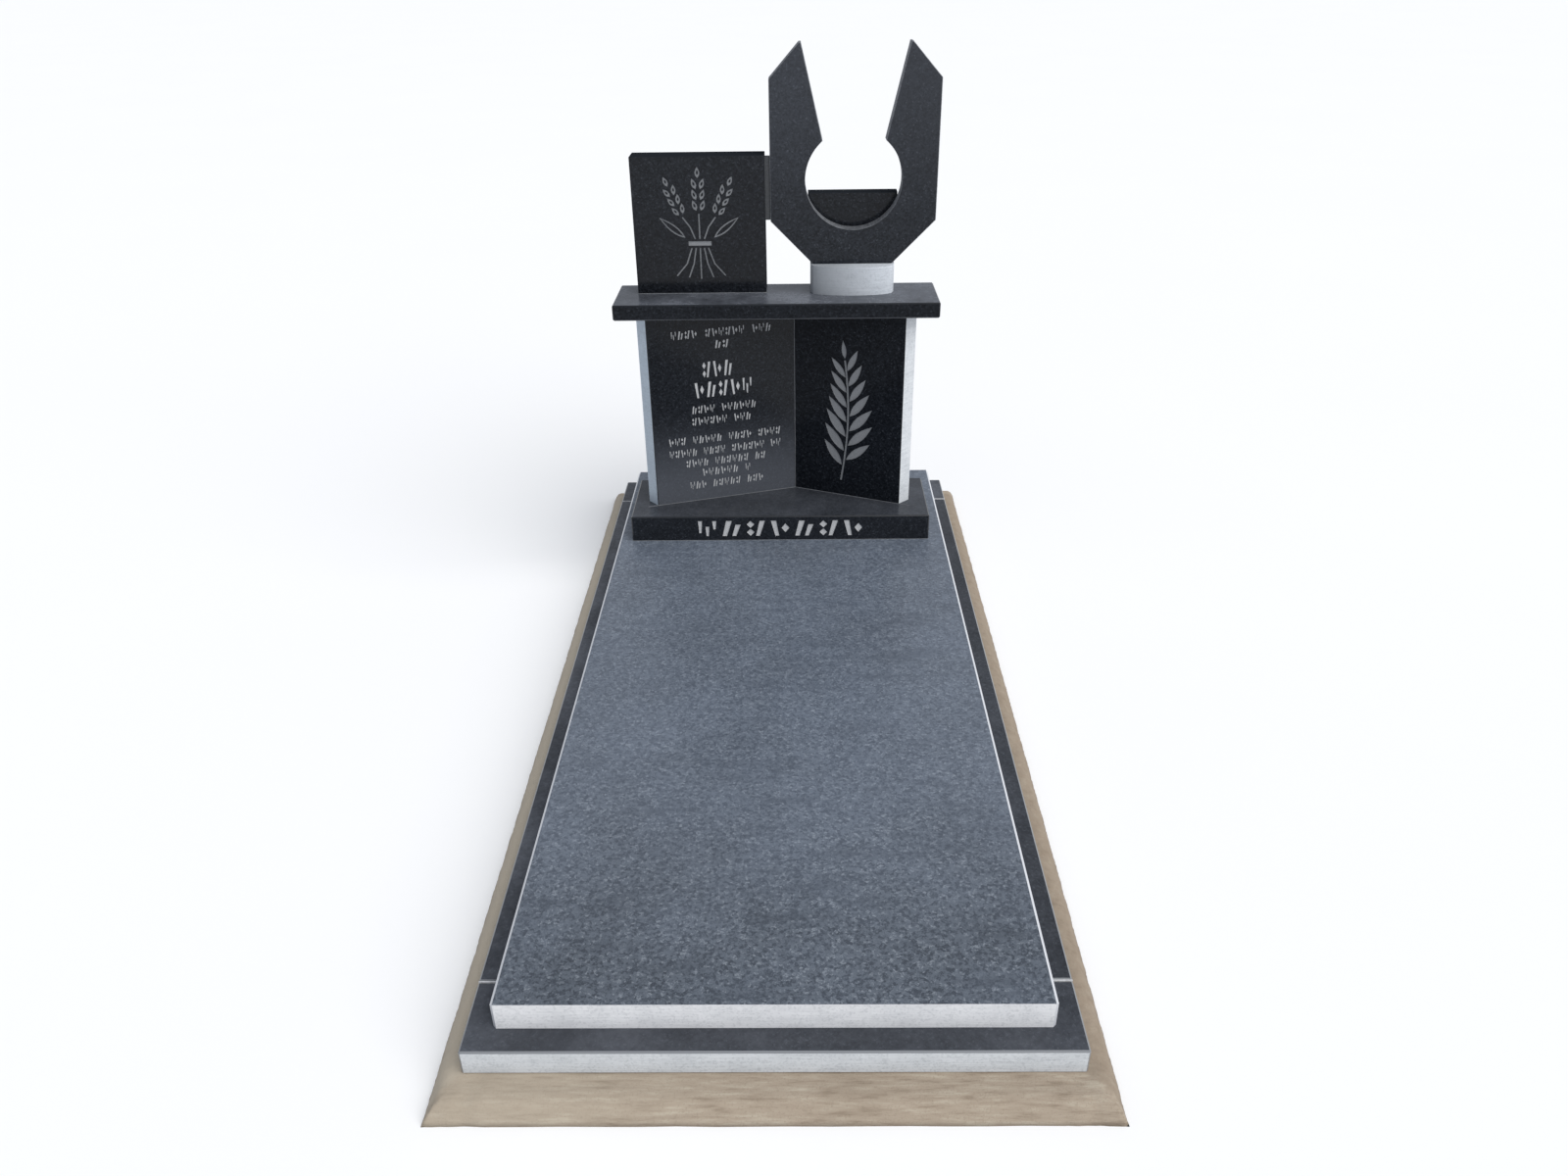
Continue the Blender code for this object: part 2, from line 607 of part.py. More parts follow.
def add_square_panel():
    """Square panel with a tied sheaf of wheat drawn in cut lines."""
    low = (SQUARE_X0, STAND_Y, STAND_Z)
    high = (SQUARE_X0 + SQUARE_WIDTH, STAND_Y + SQUARE_THICK, STAND_Z + SQUARE_HEIGHT)
    panel = add_slab("square_panel", low, high, SQUARE_ARRIS, POLISHED)
    width = SQUARE_WIDTH - 2 * SHEAF_SIDE
    height = SQUARE_HEIGHT - SHEAF_FOOT - SHEAF_TOP
    maker = bmesh.new()

    def place(outwards, up):
        return (SHEAF_SIDE + width * (0.5 + outwards), SHEAF_FOOT + height * up)

    for lean in (-1.0, 0.0, 1.0):
        outer = abs(lean)
        foot = place(STALK_FOOT_REACH * lean, TIE_HIGH + TIE_GAP)
        bend = place(STALK_BEND_REACH * lean, STALK_BEND)
        top = place(STALK_TOP_REACH * lean, STALK_TOP - STALK_TOP_LESS * outer)
        cut_line(maker, [foot, bend, top], SHEAF_LINE)
        heading = math.pi / 2 - EAR_TURN * lean
        ahead = Vector((math.cos(heading), math.sin(heading)))
        ear_foot = Vector(top) + ahead * SHEAF_LINE * 2
        cut_wheat_ear(maker, ear_foot, heading, height * (EAR_HEIGHT - EAR_HEIGHT_LESS * outer))
    for lean in (-2.0, -1.0, 0.0, 1.0, 2.0):
        top = place(STRAW_TOP_REACH * lean, TIE_LOW - TIE_GAP)
        bend = place(STRAW_BEND_REACH * lean, STRAW_BEND)
        end = place(STRAW_END_REACH * lean, STRAW_END + STRAW_END_RISE * abs(lean))
        cut_line(maker, [top, bend, end], SHEAF_LINE)
    cut_pocket(maker, [place(-TIE_REACH, TIE_LOW), place(TIE_REACH, TIE_LOW),
                       place(TIE_REACH, TIE_HIGH), place(-TIE_REACH, TIE_HIGH)])
    for lean in (-1.0, 1.0):
        foot = place(BLADE_REACH * lean, TIE_HIGH + BLADE_GAP)
        heading = math.pi / 2 - BLADE_TURN * lean
        outline = leaf_outline(foot, heading, height * BLADE_LENGTH, height * BLADE_WIDTH, LEAF_STEPS)
        cut_loop(maker, outline, shrink_leaf(outline, SHEAF_LINE))
    carve(panel, maker, face_frame(low, (1.0, 0.0, 0.0)))


def add_neck():
    """Block with a bowed front that lifts the fork off the cap."""
    half = NECK_WIDTH / 2
    plan = []
    for i in range(NECK_STEPS + 1):
        x = -half + NECK_WIDTH * i / NECK_STEPS
        swell = math.sqrt(max(0.0, 1.0 - (x / half) ** 2)) ** NECK_BOW_FULLNESS
        plan.append((NECK_X + x, STAND_Y - NECK_BOW * swell))
    plan.append((NECK_X + half, NECK_Y1))
    plan.append((NECK_X - half, NECK_Y1))
    maker = bmesh.new()
    add_prism(maker, [(x, y, STAND_Z) for x, y in plan], [(x, y, NECK_Z1) for x, y in plan])
    neck = add_object("neck", maker, SAWN)
    neck.data.shade_smooth()
    neck.data.set_sharp_from_angle(angle=SMOOTH_ANGLE)


def fork_outline():
    """Outline of the fork, right side first, in face coordinates about its middle."""
    right = [
        (FORK_FOOT_WIDTH / 2, 0.0),
        (FORK_WIDTH / 2, FORK_HIP_HEIGHT),
        (FORK_WIDTH / 2, FORK_SHOULDER_HEIGHT),
        (FORK_TIP_SPREAD / 2 + FORK_TIP_WIDTH / 2, FORK_HEIGHT),
        (FORK_TIP_SPREAD / 2 - FORK_TIP_WIDTH / 2, FORK_HEIGHT),
    ]
    throat = math.asin(FORK_THROAT_WIDTH / 2 / FORK_HOLE_RADIUS)
    sweep = 2 * math.pi - 2 * throat
    hole = []
    for i in range(FORK_HOLE_STEPS + 1):
        angle = math.pi / 2 - throat - sweep * i / FORK_HOLE_STEPS
        hole.append((FORK_HOLE_RADIUS * math.cos(angle),
                     FORK_HOLE_HEIGHT + FORK_HOLE_RADIUS * math.sin(angle)))
    left = [(-u, v) for u, v in reversed(right)]
    return right + hole + left


def add_cut_slab(name, outline, front_y, back_y, arris):
    """A polished slab that stands on the neck. Its outline is arrised except at its foot."""
    points = [(NECK_X + u, FORK_Z0 + v) for u, v in outline]
    maker = bmesh.new()
    ends = add_prism(maker, [(x, front_y, z) for x, z in points], [(x, back_y, z) for x, z in points])
    rim = set()
    for end in ends:
        for edge in end.edges:
            if max(vert.co.z for vert in edge.verts) > FORK_Z0 + BED:
                rim.add(edge)
    cut_arris(maker, rim, arris)
    slab = add_object(name, maker, POLISHED)
    slab.data.shade_smooth()
    slab.data.set_sharp_from_angle(angle=SMOOTH_ANGLE)


def add_fork():
    """Forked slab that stands on the neck."""
    add_cut_slab("fork", fork_outline(), STAND_Y, STAND_Y + FORK_THICK, FORK_ARRIS)


def add_back_slab():
    """Plain slab behind the foot of the fork."""
    half = BACK_SLAB_WIDTH / 2
    foot = half - BACK_SLAB_CORNER
    outline = [(foot, 0.0), (half, BACK_SLAB_CORNER), (half, BACK_SLAB_HEIGHT),
               (-half, BACK_SLAB_HEIGHT), (-half, BACK_SLAB_CORNER), (-foot, 0.0)]
    add_cut_slab("back_slab", outline, BACK_SLAB_Y0, NECK_Y1, BACK_SLAB_ARRIS)


def main():
    """Build the whole memorial from the ground up."""
    clear_scene()
    add_footing()
    add_kerbs()
    add_ledger()
    add_plinth()
    add_book_left()
    add_book_right()
    add_cap()
    add_square_panel()
    add_neck()
    add_fork()
    add_back_slab()


main()
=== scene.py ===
import math

import bmesh
import bpy
from bpy.props import FloatProperty, FloatVectorProperty, PointerProperty
from mathutils import Matrix, Vector


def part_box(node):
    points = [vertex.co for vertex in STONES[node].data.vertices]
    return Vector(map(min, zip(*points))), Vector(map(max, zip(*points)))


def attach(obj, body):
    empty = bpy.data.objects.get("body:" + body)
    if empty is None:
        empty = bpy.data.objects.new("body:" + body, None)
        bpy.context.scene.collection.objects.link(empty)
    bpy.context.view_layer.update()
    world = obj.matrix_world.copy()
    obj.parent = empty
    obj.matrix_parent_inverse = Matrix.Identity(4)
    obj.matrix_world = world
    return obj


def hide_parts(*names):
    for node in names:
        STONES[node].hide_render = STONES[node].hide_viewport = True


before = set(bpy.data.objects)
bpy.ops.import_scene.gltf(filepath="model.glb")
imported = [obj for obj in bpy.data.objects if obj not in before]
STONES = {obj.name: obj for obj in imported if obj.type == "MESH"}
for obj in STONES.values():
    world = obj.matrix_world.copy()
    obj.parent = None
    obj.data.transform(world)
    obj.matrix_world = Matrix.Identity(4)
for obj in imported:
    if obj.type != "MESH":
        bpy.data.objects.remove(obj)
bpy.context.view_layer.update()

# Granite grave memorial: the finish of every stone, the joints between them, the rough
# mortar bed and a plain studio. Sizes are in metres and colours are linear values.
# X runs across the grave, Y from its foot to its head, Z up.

bl_info = {
    "name": "Granite grave memorial",
    "version": (1, 0, 0),
    "blender": (4, 5, 0),
    "location": "3D View > Sidebar > Memorial",
    "description": "Finishes the stones of a kerbed grave memorial and sets up a plain studio",
    "category": "Object",
}

BODY = "root"


def colour(name, text, default):
    """A colour that a user can change."""
    return FloatVectorProperty(name=name, description=text, subtype="COLOR", size=3,
                               min=0.0, max=1.0, default=default)


def length(name, text, default):
    """A length in metres that a user can change."""
    return FloatProperty(name=name, description=text, subtype="DISTANCE", unit="LENGTH",
                         min=0.0, precision=4, default=default)


def angle(name, text, default):
    """An angle that a user can change."""
    return FloatProperty(name=name, description=text, subtype="ANGLE", unit="ROTATION",
                         precision=4, default=default)


class MemorialColours(bpy.types.PropertyGroup):
    """Colours of every finish on the memorial."""

    polished_dark: colour("Polished, dark", "Dark crystals of the polished stones", (0.004, 0.005, 0.007))
    polished_mid: colour("Polished, middle", "Body of the polished stones", (0.011, 0.013, 0.017))
    polished_light: colour("Polished, light", "Light crystals of the polished stones", (0.030, 0.034, 0.042))
    ledger_dark: colour("Ledger, dark", "Dark crystals of the ledger", (0.026, 0.032, 0.042))
    ledger_mid: colour("Ledger, middle", "Body of the ledger", (0.088, 0.103, 0.124))
    ledger_light: colour("Ledger, light", "Light crystals of the ledger", (0.180, 0.200, 0.225))
    sawn_pale: colour("Sawn, pale", "Pale body of a sawn face", (0.760, 0.765, 0.780))
    sawn_grey: colour("Sawn, grey", "Grey crystals and saw lines of a sawn face", (0.530, 0.540, 0.560))
    kerb_pale: colour("Kerb, pale", "Pale body of the kerbs' sawn faces", (0.640, 0.665, 0.690))
    kerb_grey: colour("Kerb, grey", "Grey crystals and saw lines of the kerbs", (0.440, 0.465, 0.490))
    neck_pale: colour("Neck, pale", "Pale body of the neck", (0.650, 0.690, 0.740))
    neck_grey: colour("Neck, grey", "Grey crystals and saw lines of the neck", (0.440, 0.470, 0.510))
    # The haze colour is the dust film on the polished stones, and on the foot kerb it is also painted light.
    dust_and_painted_light_haze: colour("Haze", "Dry film of dust on the polished stones", (0.400, 0.430, 0.500))
    shaded_pale: colour("Shaded sawn, pale", "Bluish sawn end of the left leaf", (0.450, 0.520, 0.590))
    shaded_grey: colour("Shaded sawn, grey", "Grey crystals of the left leaf's end", (0.330, 0.380, 0.440))
    ledger_film: colour("Ledger film", "Bluish film on the ledger's upper part", (0.360, 0.430, 0.560))
    rim: colour("Rim", "Honed edge of the forked slab", (0.190, 0.198, 0.215))
    arris: colour("Arris", "Narrow flat along the polished edges", (0.016, 0.018, 0.022))
    low_arris: colour("Lower arris", "Narrow flat along a polished slab's lower edges", (0.090, 0.095, 0.105))
    kerb_arris: colour("Kerb arris", "Narrow grey flat along the kerbs' edges", (0.200, 0.210, 0.225))
    ledger_arris: colour("Ledger arris", "Narrow pale flat along the ledger's edges", (0.560, 0.575, 0.610))
    worn_edge: colour("Worn edge", "Dull upper and side edges of the standing panels", (0.020, 0.023, 0.028))
    frosted: colour("Frosted", "Blasted stone in the rows of marks", (0.640, 0.645, 0.655))
    motif: colour("Motif", "Blasted stone in the sheaf and the branch", (0.270, 0.280, 0.295))
    sand: colour("Sand", "Body of the mortar bed", (0.350, 0.288, 0.222))
    sand_pale: colour("Sand, pale", "Dry streaks of the mortar bed", (0.440, 0.385, 0.305))
    sand_dark: colour("Sand, dark", "Damp streaks of the mortar bed", (0.235, 0.185, 0.135))
    grout: colour("Grout", "White grout in the kerb joints", (0.620, 0.625, 0.640))
    bead: colour("Bead", "Sealant along the feet of the stones", (0.130, 0.137, 0.150))
    panel_joint: colour("Panel joint", "Sealant between the square panel and the fork", (0.060, 0.064, 0.070))


class MemorialSizes(bpy.types.PropertyGroup):
    """Sizes of what the finish adds to the stones."""

    crystal: length("Crystal", "Size of the dark granite's crystals", 0.0042)
    ledger_crystal: length("Ledger crystal", "Size of the ledger's crystals", 0.0055)
    saw_line: length("Saw line", "Distance between saw lines on a sawn face", 0.0022)
    cut_depth: length("Cut depth", "Depth of the cut work in the panels", 0.0015)
    bead: length("Bead", "Radius of the sealant bead", 0.0014)
    bead_step: length("Bead step", "Distance between rings of the bead", 0.0060)
    joint_slack: length("Joint slack", "Gap left round the grout in a joint", 0.0001)
    joint_recess: length("Joint recess", "Depth of the panel joint behind the stones' faces", 0.0060)
    hip_height: length("Hip height", "Height of the panel joint's foot above the fork's foot", 0.1100)
    leaf_film: length("Leaf film", "Height of the film of dust on the left leaf", 0.2800)
    foot_film: length("Foot film", "Length of the dusty stretch at the ledger's foot", 0.6000)
    slope: length("Bed slope", "Width of the mortar bed's rounded shoulder", 0.0450)
    bed_margin: length("Bed margin", "Width of the mortar bed's finely worked rim", 0.1000)
    bed_fine: length("Bed fine step", "Distance between points of the worked rim", 0.0045)
    bed_coarse: length("Bed coarse step", "Distance between points under the stones", 0.0600)
    bed_dip: length("Bed dip", "Deepest hollow in the mortar's surface", 0.0035)


class MemorialStage(bpy.types.PropertyGroup):
    """Camera, lights and floor."""

    eye: FloatVectorProperty(name="Eye", description="Place of the camera", subtype="XYZ", unit="LENGTH",
                             size=3, default=(0.0424, -2.2759, 1.6065))
    yaw: angle("Yaw", "Turn of the camera to the left", 0.0134)
    pitch: angle("Pitch", "Tilt of the camera below level", 0.5183)
    roll: angle("Roll", "Turn of the camera about its view", -0.0134)
    lens: FloatProperty(name="Lens", description="Focal length for a 36 mm wide image", unit="CAMERA",
                        default=26.55)
    key_power: FloatProperty(name="Key light", description="Strength of the soft key light", default=2.7)
    key_spread: angle("Key spread", "Apparent width of the key light", math.radians(60.0))
    key_height: angle("Key height", "Height of the key light above level", math.radians(46.0))
    key_side: angle("Key side", "Turn of the key light to the right of the foot", math.radians(52.0))
    key_colour: colour("Key colour", "Colour of the key light", (1.0, 0.985, 0.96))
    sky_power: FloatProperty(name="Sky", description="Strength of the even light all round", default=0.55)
    sky: colour("Sky colour", "Colour of the even light", (0.86, 0.91, 1.00))
    floor: colour("Floor colour", "Colour of the plain floor", (0.91, 0.91, 0.91))
    floor_reach: length("Floor reach", "Half the width of the floor", 60.0)


def feed(tree, kind, inputs=None, **settings):
    """Add a node, give it its settings, and feed its inputs with values or other sockets."""
    made = tree.nodes.new(kind)
    for key, value in settings.items():
        setattr(made, key, value)
    for key, value in (inputs or {}).items():
        if isinstance(value, bpy.types.NodeSocket):
            tree.links.new(value, made.inputs[key])
        else:
            made.inputs[key].default_value = value
    return made


def maths(tree, operation, *values, clamp=False):
    """One number worked out from others."""
    made = feed(tree, "ShaderNodeMath", dict(enumerate(values)), operation=operation, use_clamp=clamp)
    return made.outputs[0]


def spread(tree, value, low, high, to_low=0.0, to_high=1.0):
    """A number moved from one range to another with soft ends."""
    made = feed(tree, "ShaderNodeMapRange",
                {"Value": value, "From Min": low, "From Max": high, "To Min": to_low, "To Max": to_high},
                interpolation_type="SMOOTHSTEP")
    return made.outputs["Result"]


def blend_colours(tree, factor, first, second):
    """One colour laid over another."""
    sides = [value if isinstance(value, bpy.types.NodeSocket) else (*value[:3], 1.0)
             for value in (first, second)]
    made = feed(tree, "ShaderNodeMix", {0: factor, 6: sides[0], 7: sides[1]}, data_type="RGBA")
    return made.outputs[2]


def blend_numbers(tree, factor, first, second):
    """A number between two others."""
    made = feed(tree, "ShaderNodeMix", {0: factor, 2: first, 3: second}, data_type="FLOAT")
    return made.outputs[0]


def stretch(tree, place, scale):
    """Place drawn out along its axes."""
    return feed(tree, "ShaderNodeMapping", {"Vector": place, "Scale": scale}).outputs["Vector"]


def noise(tree, place, scale, detail=2.0, roughness=0.5):
    """Soft noise from 0 to 1."""
    made = feed(tree, "ShaderNodeTexNoise",
                {"Vector": place, "Scale": scale, "Detail": detail, "Roughness": roughness})
    return made.outputs[0]


def seeded_noise(tree, place, seed, scale, detail=2.0):
    """Soft noise from 0 to 1 that changes with a seed."""
    made = feed(tree, "ShaderNodeTexNoise",
                {"Vector": place, "W": seed, "Scale": scale, "Detail": detail}, noise_dimensions="4D")
    return made.outputs[0]


def cell_tone(tree, place, scale):
    """A number from 0 to 1 for each crystal."""
    cells = feed(tree, "ShaderNodeTexVoronoi", {"Vector": place, "Scale": scale})
    return feed(tree, "ShaderNodeSeparateColor", {0: cells.outputs["Color"]}).outputs[0]


def vectors(tree, operation, first, second):
    """One vector worked out from two others."""
    made = feed(tree, "ShaderNodeVectorMath", {0: first, 1: second}, operation=operation)
    return made.outputs["Vector"]


def scaled(tree, vector, factor):
    """A vector or colour made longer or shorter."""
    made = feed(tree, "ShaderNodeVectorMath", {0: vector, "Scale": factor}, operation="SCALE")
    return made.outputs["Vector"]


def dot_product(tree, first, second):
    """How far one vector reaches along another."""
    made = feed(tree, "ShaderNodeVectorMath", {0: first, 1: second}, operation="DOT_PRODUCT")
    return made.outputs["Value"]


def shader_group(name, inputs, outputs):
    """Start a shader node group. Return it with its inputs to read and its outputs to feed."""
    tree = bpy.data.node_groups.new(name, "ShaderNodeTree")
    kinds = {float: "NodeSocketFloat", tuple: "NodeSocketColor", Vector: "NodeSocketVector"}
    for label, default in inputs.items():
        socket = tree.interface.new_socket(name=label, in_out="INPUT", socket_type=kinds[type(default)])
        socket.default_value = (*default, 1.0) if isinstance(default, tuple) else default
    for label, kind in outputs.items():
        tree.interface.new_socket(name=label, in_out="OUTPUT", socket_type=kinds[kind])
    start = tree.nodes.new("NodeGroupInput")
    end = tree.nodes.new("NodeGroupOutput")
    return tree, start.outputs, end.inputs


def use_group(tree, make_group, inputs):
    """Place a shared group in a material. It is built the first time that it is asked for."""
    name = make_group.__name__
    group = bpy.data.node_groups.get(name) or make_group(name)
    made = tree.nodes.new("ShaderNodeGroup")
    made.node_tree = group
    for key, value in inputs.items():
        if isinstance(value, bpy.types.NodeSocket):
            tree.links.new(value, made.inputs[key])
        elif made.inputs[key].type == "RGBA":
            made.inputs[key].default_value = (*value[:3], 1.0)
        else:
            made.inputs[key].default_value = value
    return made.outputs


def granite_crystals(name):
    """Interlocked dark, middle and light crystals with a slow clouding."""
    tree, given, out = shader_group(name, {
        "Place": Vector((0.0, 0.0, 0.0)), "Crystal": 0.004, "Dark": (0.01, 0.01, 0.01),
        "Middle": (0.02, 0.02, 0.02), "Light": (0.1, 0.1, 0.1), "Light Share": 0.10, "Clouding": 0.15,
    }, {"Colour": tuple, "Grain": float})
    scale = maths(tree, "DIVIDE", 1.0, given["Crystal"])
    wander = feed(tree, "ShaderNodeTexNoise", {"Vector": given["Place"], "Scale": scale, "Detail": 1.0})
    centred = vectors(tree, "SUBTRACT", wander.outputs[1], (0.5, 0.5, 0.5))
    place = vectors(tree, "ADD", given["Place"], scaled(tree, centred, given["Crystal"]))
    tones = [cell_tone(tree, place, maths(tree, "MULTIPLY", scale, factor)) for factor in (1.0, 2.2)]
    tone = maths(tree, "ADD", maths(tree, "MULTIPLY", tones[0], 0.6), maths(tree, "MULTIPLY", tones[1], 0.4))
    body = blend_colours(tree, spread(tree, tone, 0.18, 0.62), given["Dark"], given["Middle"])
    edge = maths(tree, "SUBTRACT", 0.86, given["Light Share"])
    light = spread(tree, tone, edge, maths(tree, "ADD", edge, 0.16))
    mixed = blend_colours(tree, light, body, given["Light"])
    cloud = noise(tree, given["Place"], 2.4, detail=4.0, roughness=0.6)
    low = maths(tree, "SUBTRACT", 1.0, given["Clouding"])
    high = maths(tree, "ADD", 1.0, given["Clouding"])
    shade = spread(tree, cloud, 0.3, 0.7, low, high)
    tree.links.new(scaled(tree, mixed, shade), out["Colour"])
    tree.links.new(tone, out["Grain"])
    return tree


def sawn_surface(name):
    """Pale sawn stone: fine saw lines, small crystals and pits."""
    tree, given, out = shader_group(name, {
        "Place": Vector((0.0, 0.0, 0.0)), "Line": 0.002, "Pale": (0.7, 0.7, 0.7), "Grey": (0.4, 0.4, 0.4),
    }, {"Colour": tuple, "Height": float})
    scale = maths(tree, "DIVIDE", 1.0, given["Line"])
    long_place = stretch(tree, given["Place"], (0.03, 0.03, 1.0))
    lines = noise(tree, long_place, scale, detail=2.0, roughness=0.6)
    crystal = cell_tone(tree, given["Place"], maths(tree, "MULTIPLY", scale, 0.7))
    blotch = noise(tree, given["Place"], 16.0, detail=4.0, roughness=0.7)
    dark = maths(tree, "ADD", maths(tree, "MULTIPLY", spread(tree, lines, 0.35, 0.65), 0.34),
                 maths(tree, "MULTIPLY", spread(tree, crystal, 0.55, 1.0), 0.42))
    worn = maths(tree, "MULTIPLY", spread(tree, blotch, 0.35, 0.7), 0.30)
    dark = maths(tree, "ADD", dark, worn, clamp=True)
    tree.links.new(blend_colours(tree, dark, given["Pale"], given["Grey"]), out["Colour"])
    pits = noise(tree, given["Place"], maths(tree, "MULTIPLY", scale, 1.5), detail=2.0)
    height = maths(tree, "ADD", maths(tree, "MULTIPLY", lines, 0.6), maths(tree, "MULTIPLY", pits, 0.5))
    tree.links.new(height, out["Height"])
    return tree


def face_sorter(name):
    """Masks for a slab whose faces are square: which part is sawn, and which is arris."""
    tree, given, out = shader_group(name, {
        "Facing": Vector((0.0, 0.0, 1.0)), "Turn": 0.0, "Sawn Top": 0.0, "Sawn Front": 0.0,
        "Sawn Back": 0.0, "Sawn Sides": 0.0,
    }, {"Sawn": float, "Arris": float, "Low Arris": float, "Top": float})
    turned = feed(tree, "ShaderNodeVectorRotate", {"Vector": given["Facing"], "Angle": given["Turn"]},
                  rotation_type="Z_AXIS")
    x, y, z = feed(tree, "ShaderNodeSeparateXYZ", {0: turned.outputs[0]}).outputs
    limit = 0.87
    low_limit = -0.5
    top = maths(tree, "GREATER_THAN", z, limit)
    under = maths(tree, "LESS_THAN", z, -limit)
    front = maths(tree, "LESS_THAN", y, -limit)
    back = maths(tree, "GREATER_THAN", y, limit)
    sides = maths(tree, "GREATER_THAN", maths(tree, "ABSOLUTE", x), limit)
    sawn = under
    square = under
    for mask, label in ((top, "Sawn Top"), (front, "Sawn Front"), (back, "Sawn Back"), (sides, "Sawn Sides")):
        sawn = maths(tree, "MULTIPLY_ADD", mask, given[label], sawn)
        square = maths(tree, "ADD", square, mask)
    tree.links.new(sawn, out["Sawn"])
    arris = maths(tree, "SUBTRACT", 1.0, square, clamp=True)
    tree.links.new(arris, out["Arris"])
    tree.links.new(maths(tree, "MULTIPLY", arris, maths(tree, "LESS_THAN", z, low_limit)), out["Low Arris"])
    tree.links.new(top, out["Top"])
    return tree


def cut_finder(name):
    """Mask of the shallow cut work: what lies a little behind a face, apart from its arrises."""
    tree, given, out = shader_group(name, {
        "Place": Vector((0.0, 0.0, 0.0)), "Facing": Vector((0.0, -1.0, 0.0)),
        "Face Point": Vector((0.0, 0.0, 0.0)), "Inward": Vector((0.0, 1.0, 0.0)), "Depth": 0.0015,
    }, {"Cut": float})
    offset = vectors(tree, "SUBTRACT", given["Place"], given["Face Point"])
    depth = dot_product(tree, offset, given["Inward"])
    slack = 0.0002
    behind = maths(tree, "GREATER_THAN", depth, slack)
    shallow = maths(tree, "LESS_THAN", depth, maths(tree, "ADD", given["Depth"], slack))
    facing = dot_product(tree, given["Facing"], given["Inward"])
    floor_limit = -0.9
    wall_limit = -0.3
    slanted = maths(tree, "MULTIPLY", maths(tree, "GREATER_THAN", facing, floor_limit),
                    maths(tree, "LESS_THAN", facing, wall_limit))
    square = maths(tree, "SUBTRACT", 1.0, slanted)
    tree.links.new(maths(tree, "MULTIPLY", maths(tree, "MULTIPLY", behind, shallow), square), out["Cut"])
    return tree


def weather(name):
    """Thin dust and dried rain marks on faces that look up."""
    tree, given, out = shader_group(name, {
        "Place": Vector((0.0, 0.0, 0.0)), "Top": 0.0, "Amount": 0.3,
    }, {"Dust": float, "Stain": float})
    broad = noise(tree, given["Place"], 5.0, detail=5.0, roughness=0.65)
    fine = noise(tree, given["Place"], 90.0, detail=2.0)
    film = maths(tree, "MULTIPLY", spread(tree, broad, 0.3, 0.7, 0.35, 1.0),
                 spread(tree, fine, 0.2, 0.8, 0.7, 1.0))
    dust = maths(tree, "MULTIPLY", maths(tree, "MULTIPLY", film, given["Amount"]), given["Top"])
    bands = noise(tree, stretch(tree, given["Place"], (3.0, 16.0, 1.0)), 1.6, detail=4.0, roughness=0.6)
    stain = maths(tree, "MULTIPLY", spread(tree, bands, 0.50, 0.70), given["Top"])
    tree.links.new(dust, out["Dust"])
    tree.links.new(stain, out["Stain"])
    return tree


def new_material(name):
    """An empty node material. Return it with its tree, its shader and object coordinates."""
    material = bpy.data.materials.new(name)
    material.use_nodes = True
    tree = material.node_tree
    shader = tree.nodes["Principled BSDF"]
    where = tree.nodes.new("ShaderNodeTexCoord").outputs
    return material, tree, shader, where


def bump(tree, shader, height, distance):
    """Feed a height to the shader's normal."""
    made = feed(tree, "ShaderNodeBump", {"Height": height, "Distance": distance, "Strength": 1.0})
    tree.links.new(made.outputs["Normal"], shader.inputs["Normal"])


def front_plane(stone):
    """A point on a stone's main front face, and the direction into the stone."""
    areas = {}
    places = {}
    for face in stone.data.polygons:
        if face.normal.y < -0.5:
            plane = (*(round(value, 2) for value in face.normal), round(face.center.dot(face.normal), 4))
            areas[plane] = areas.get(plane, 0.0) + face.area
            places[plane] = (face.center.copy(), -face.normal)
    return places[max(areas, key=areas.get)]


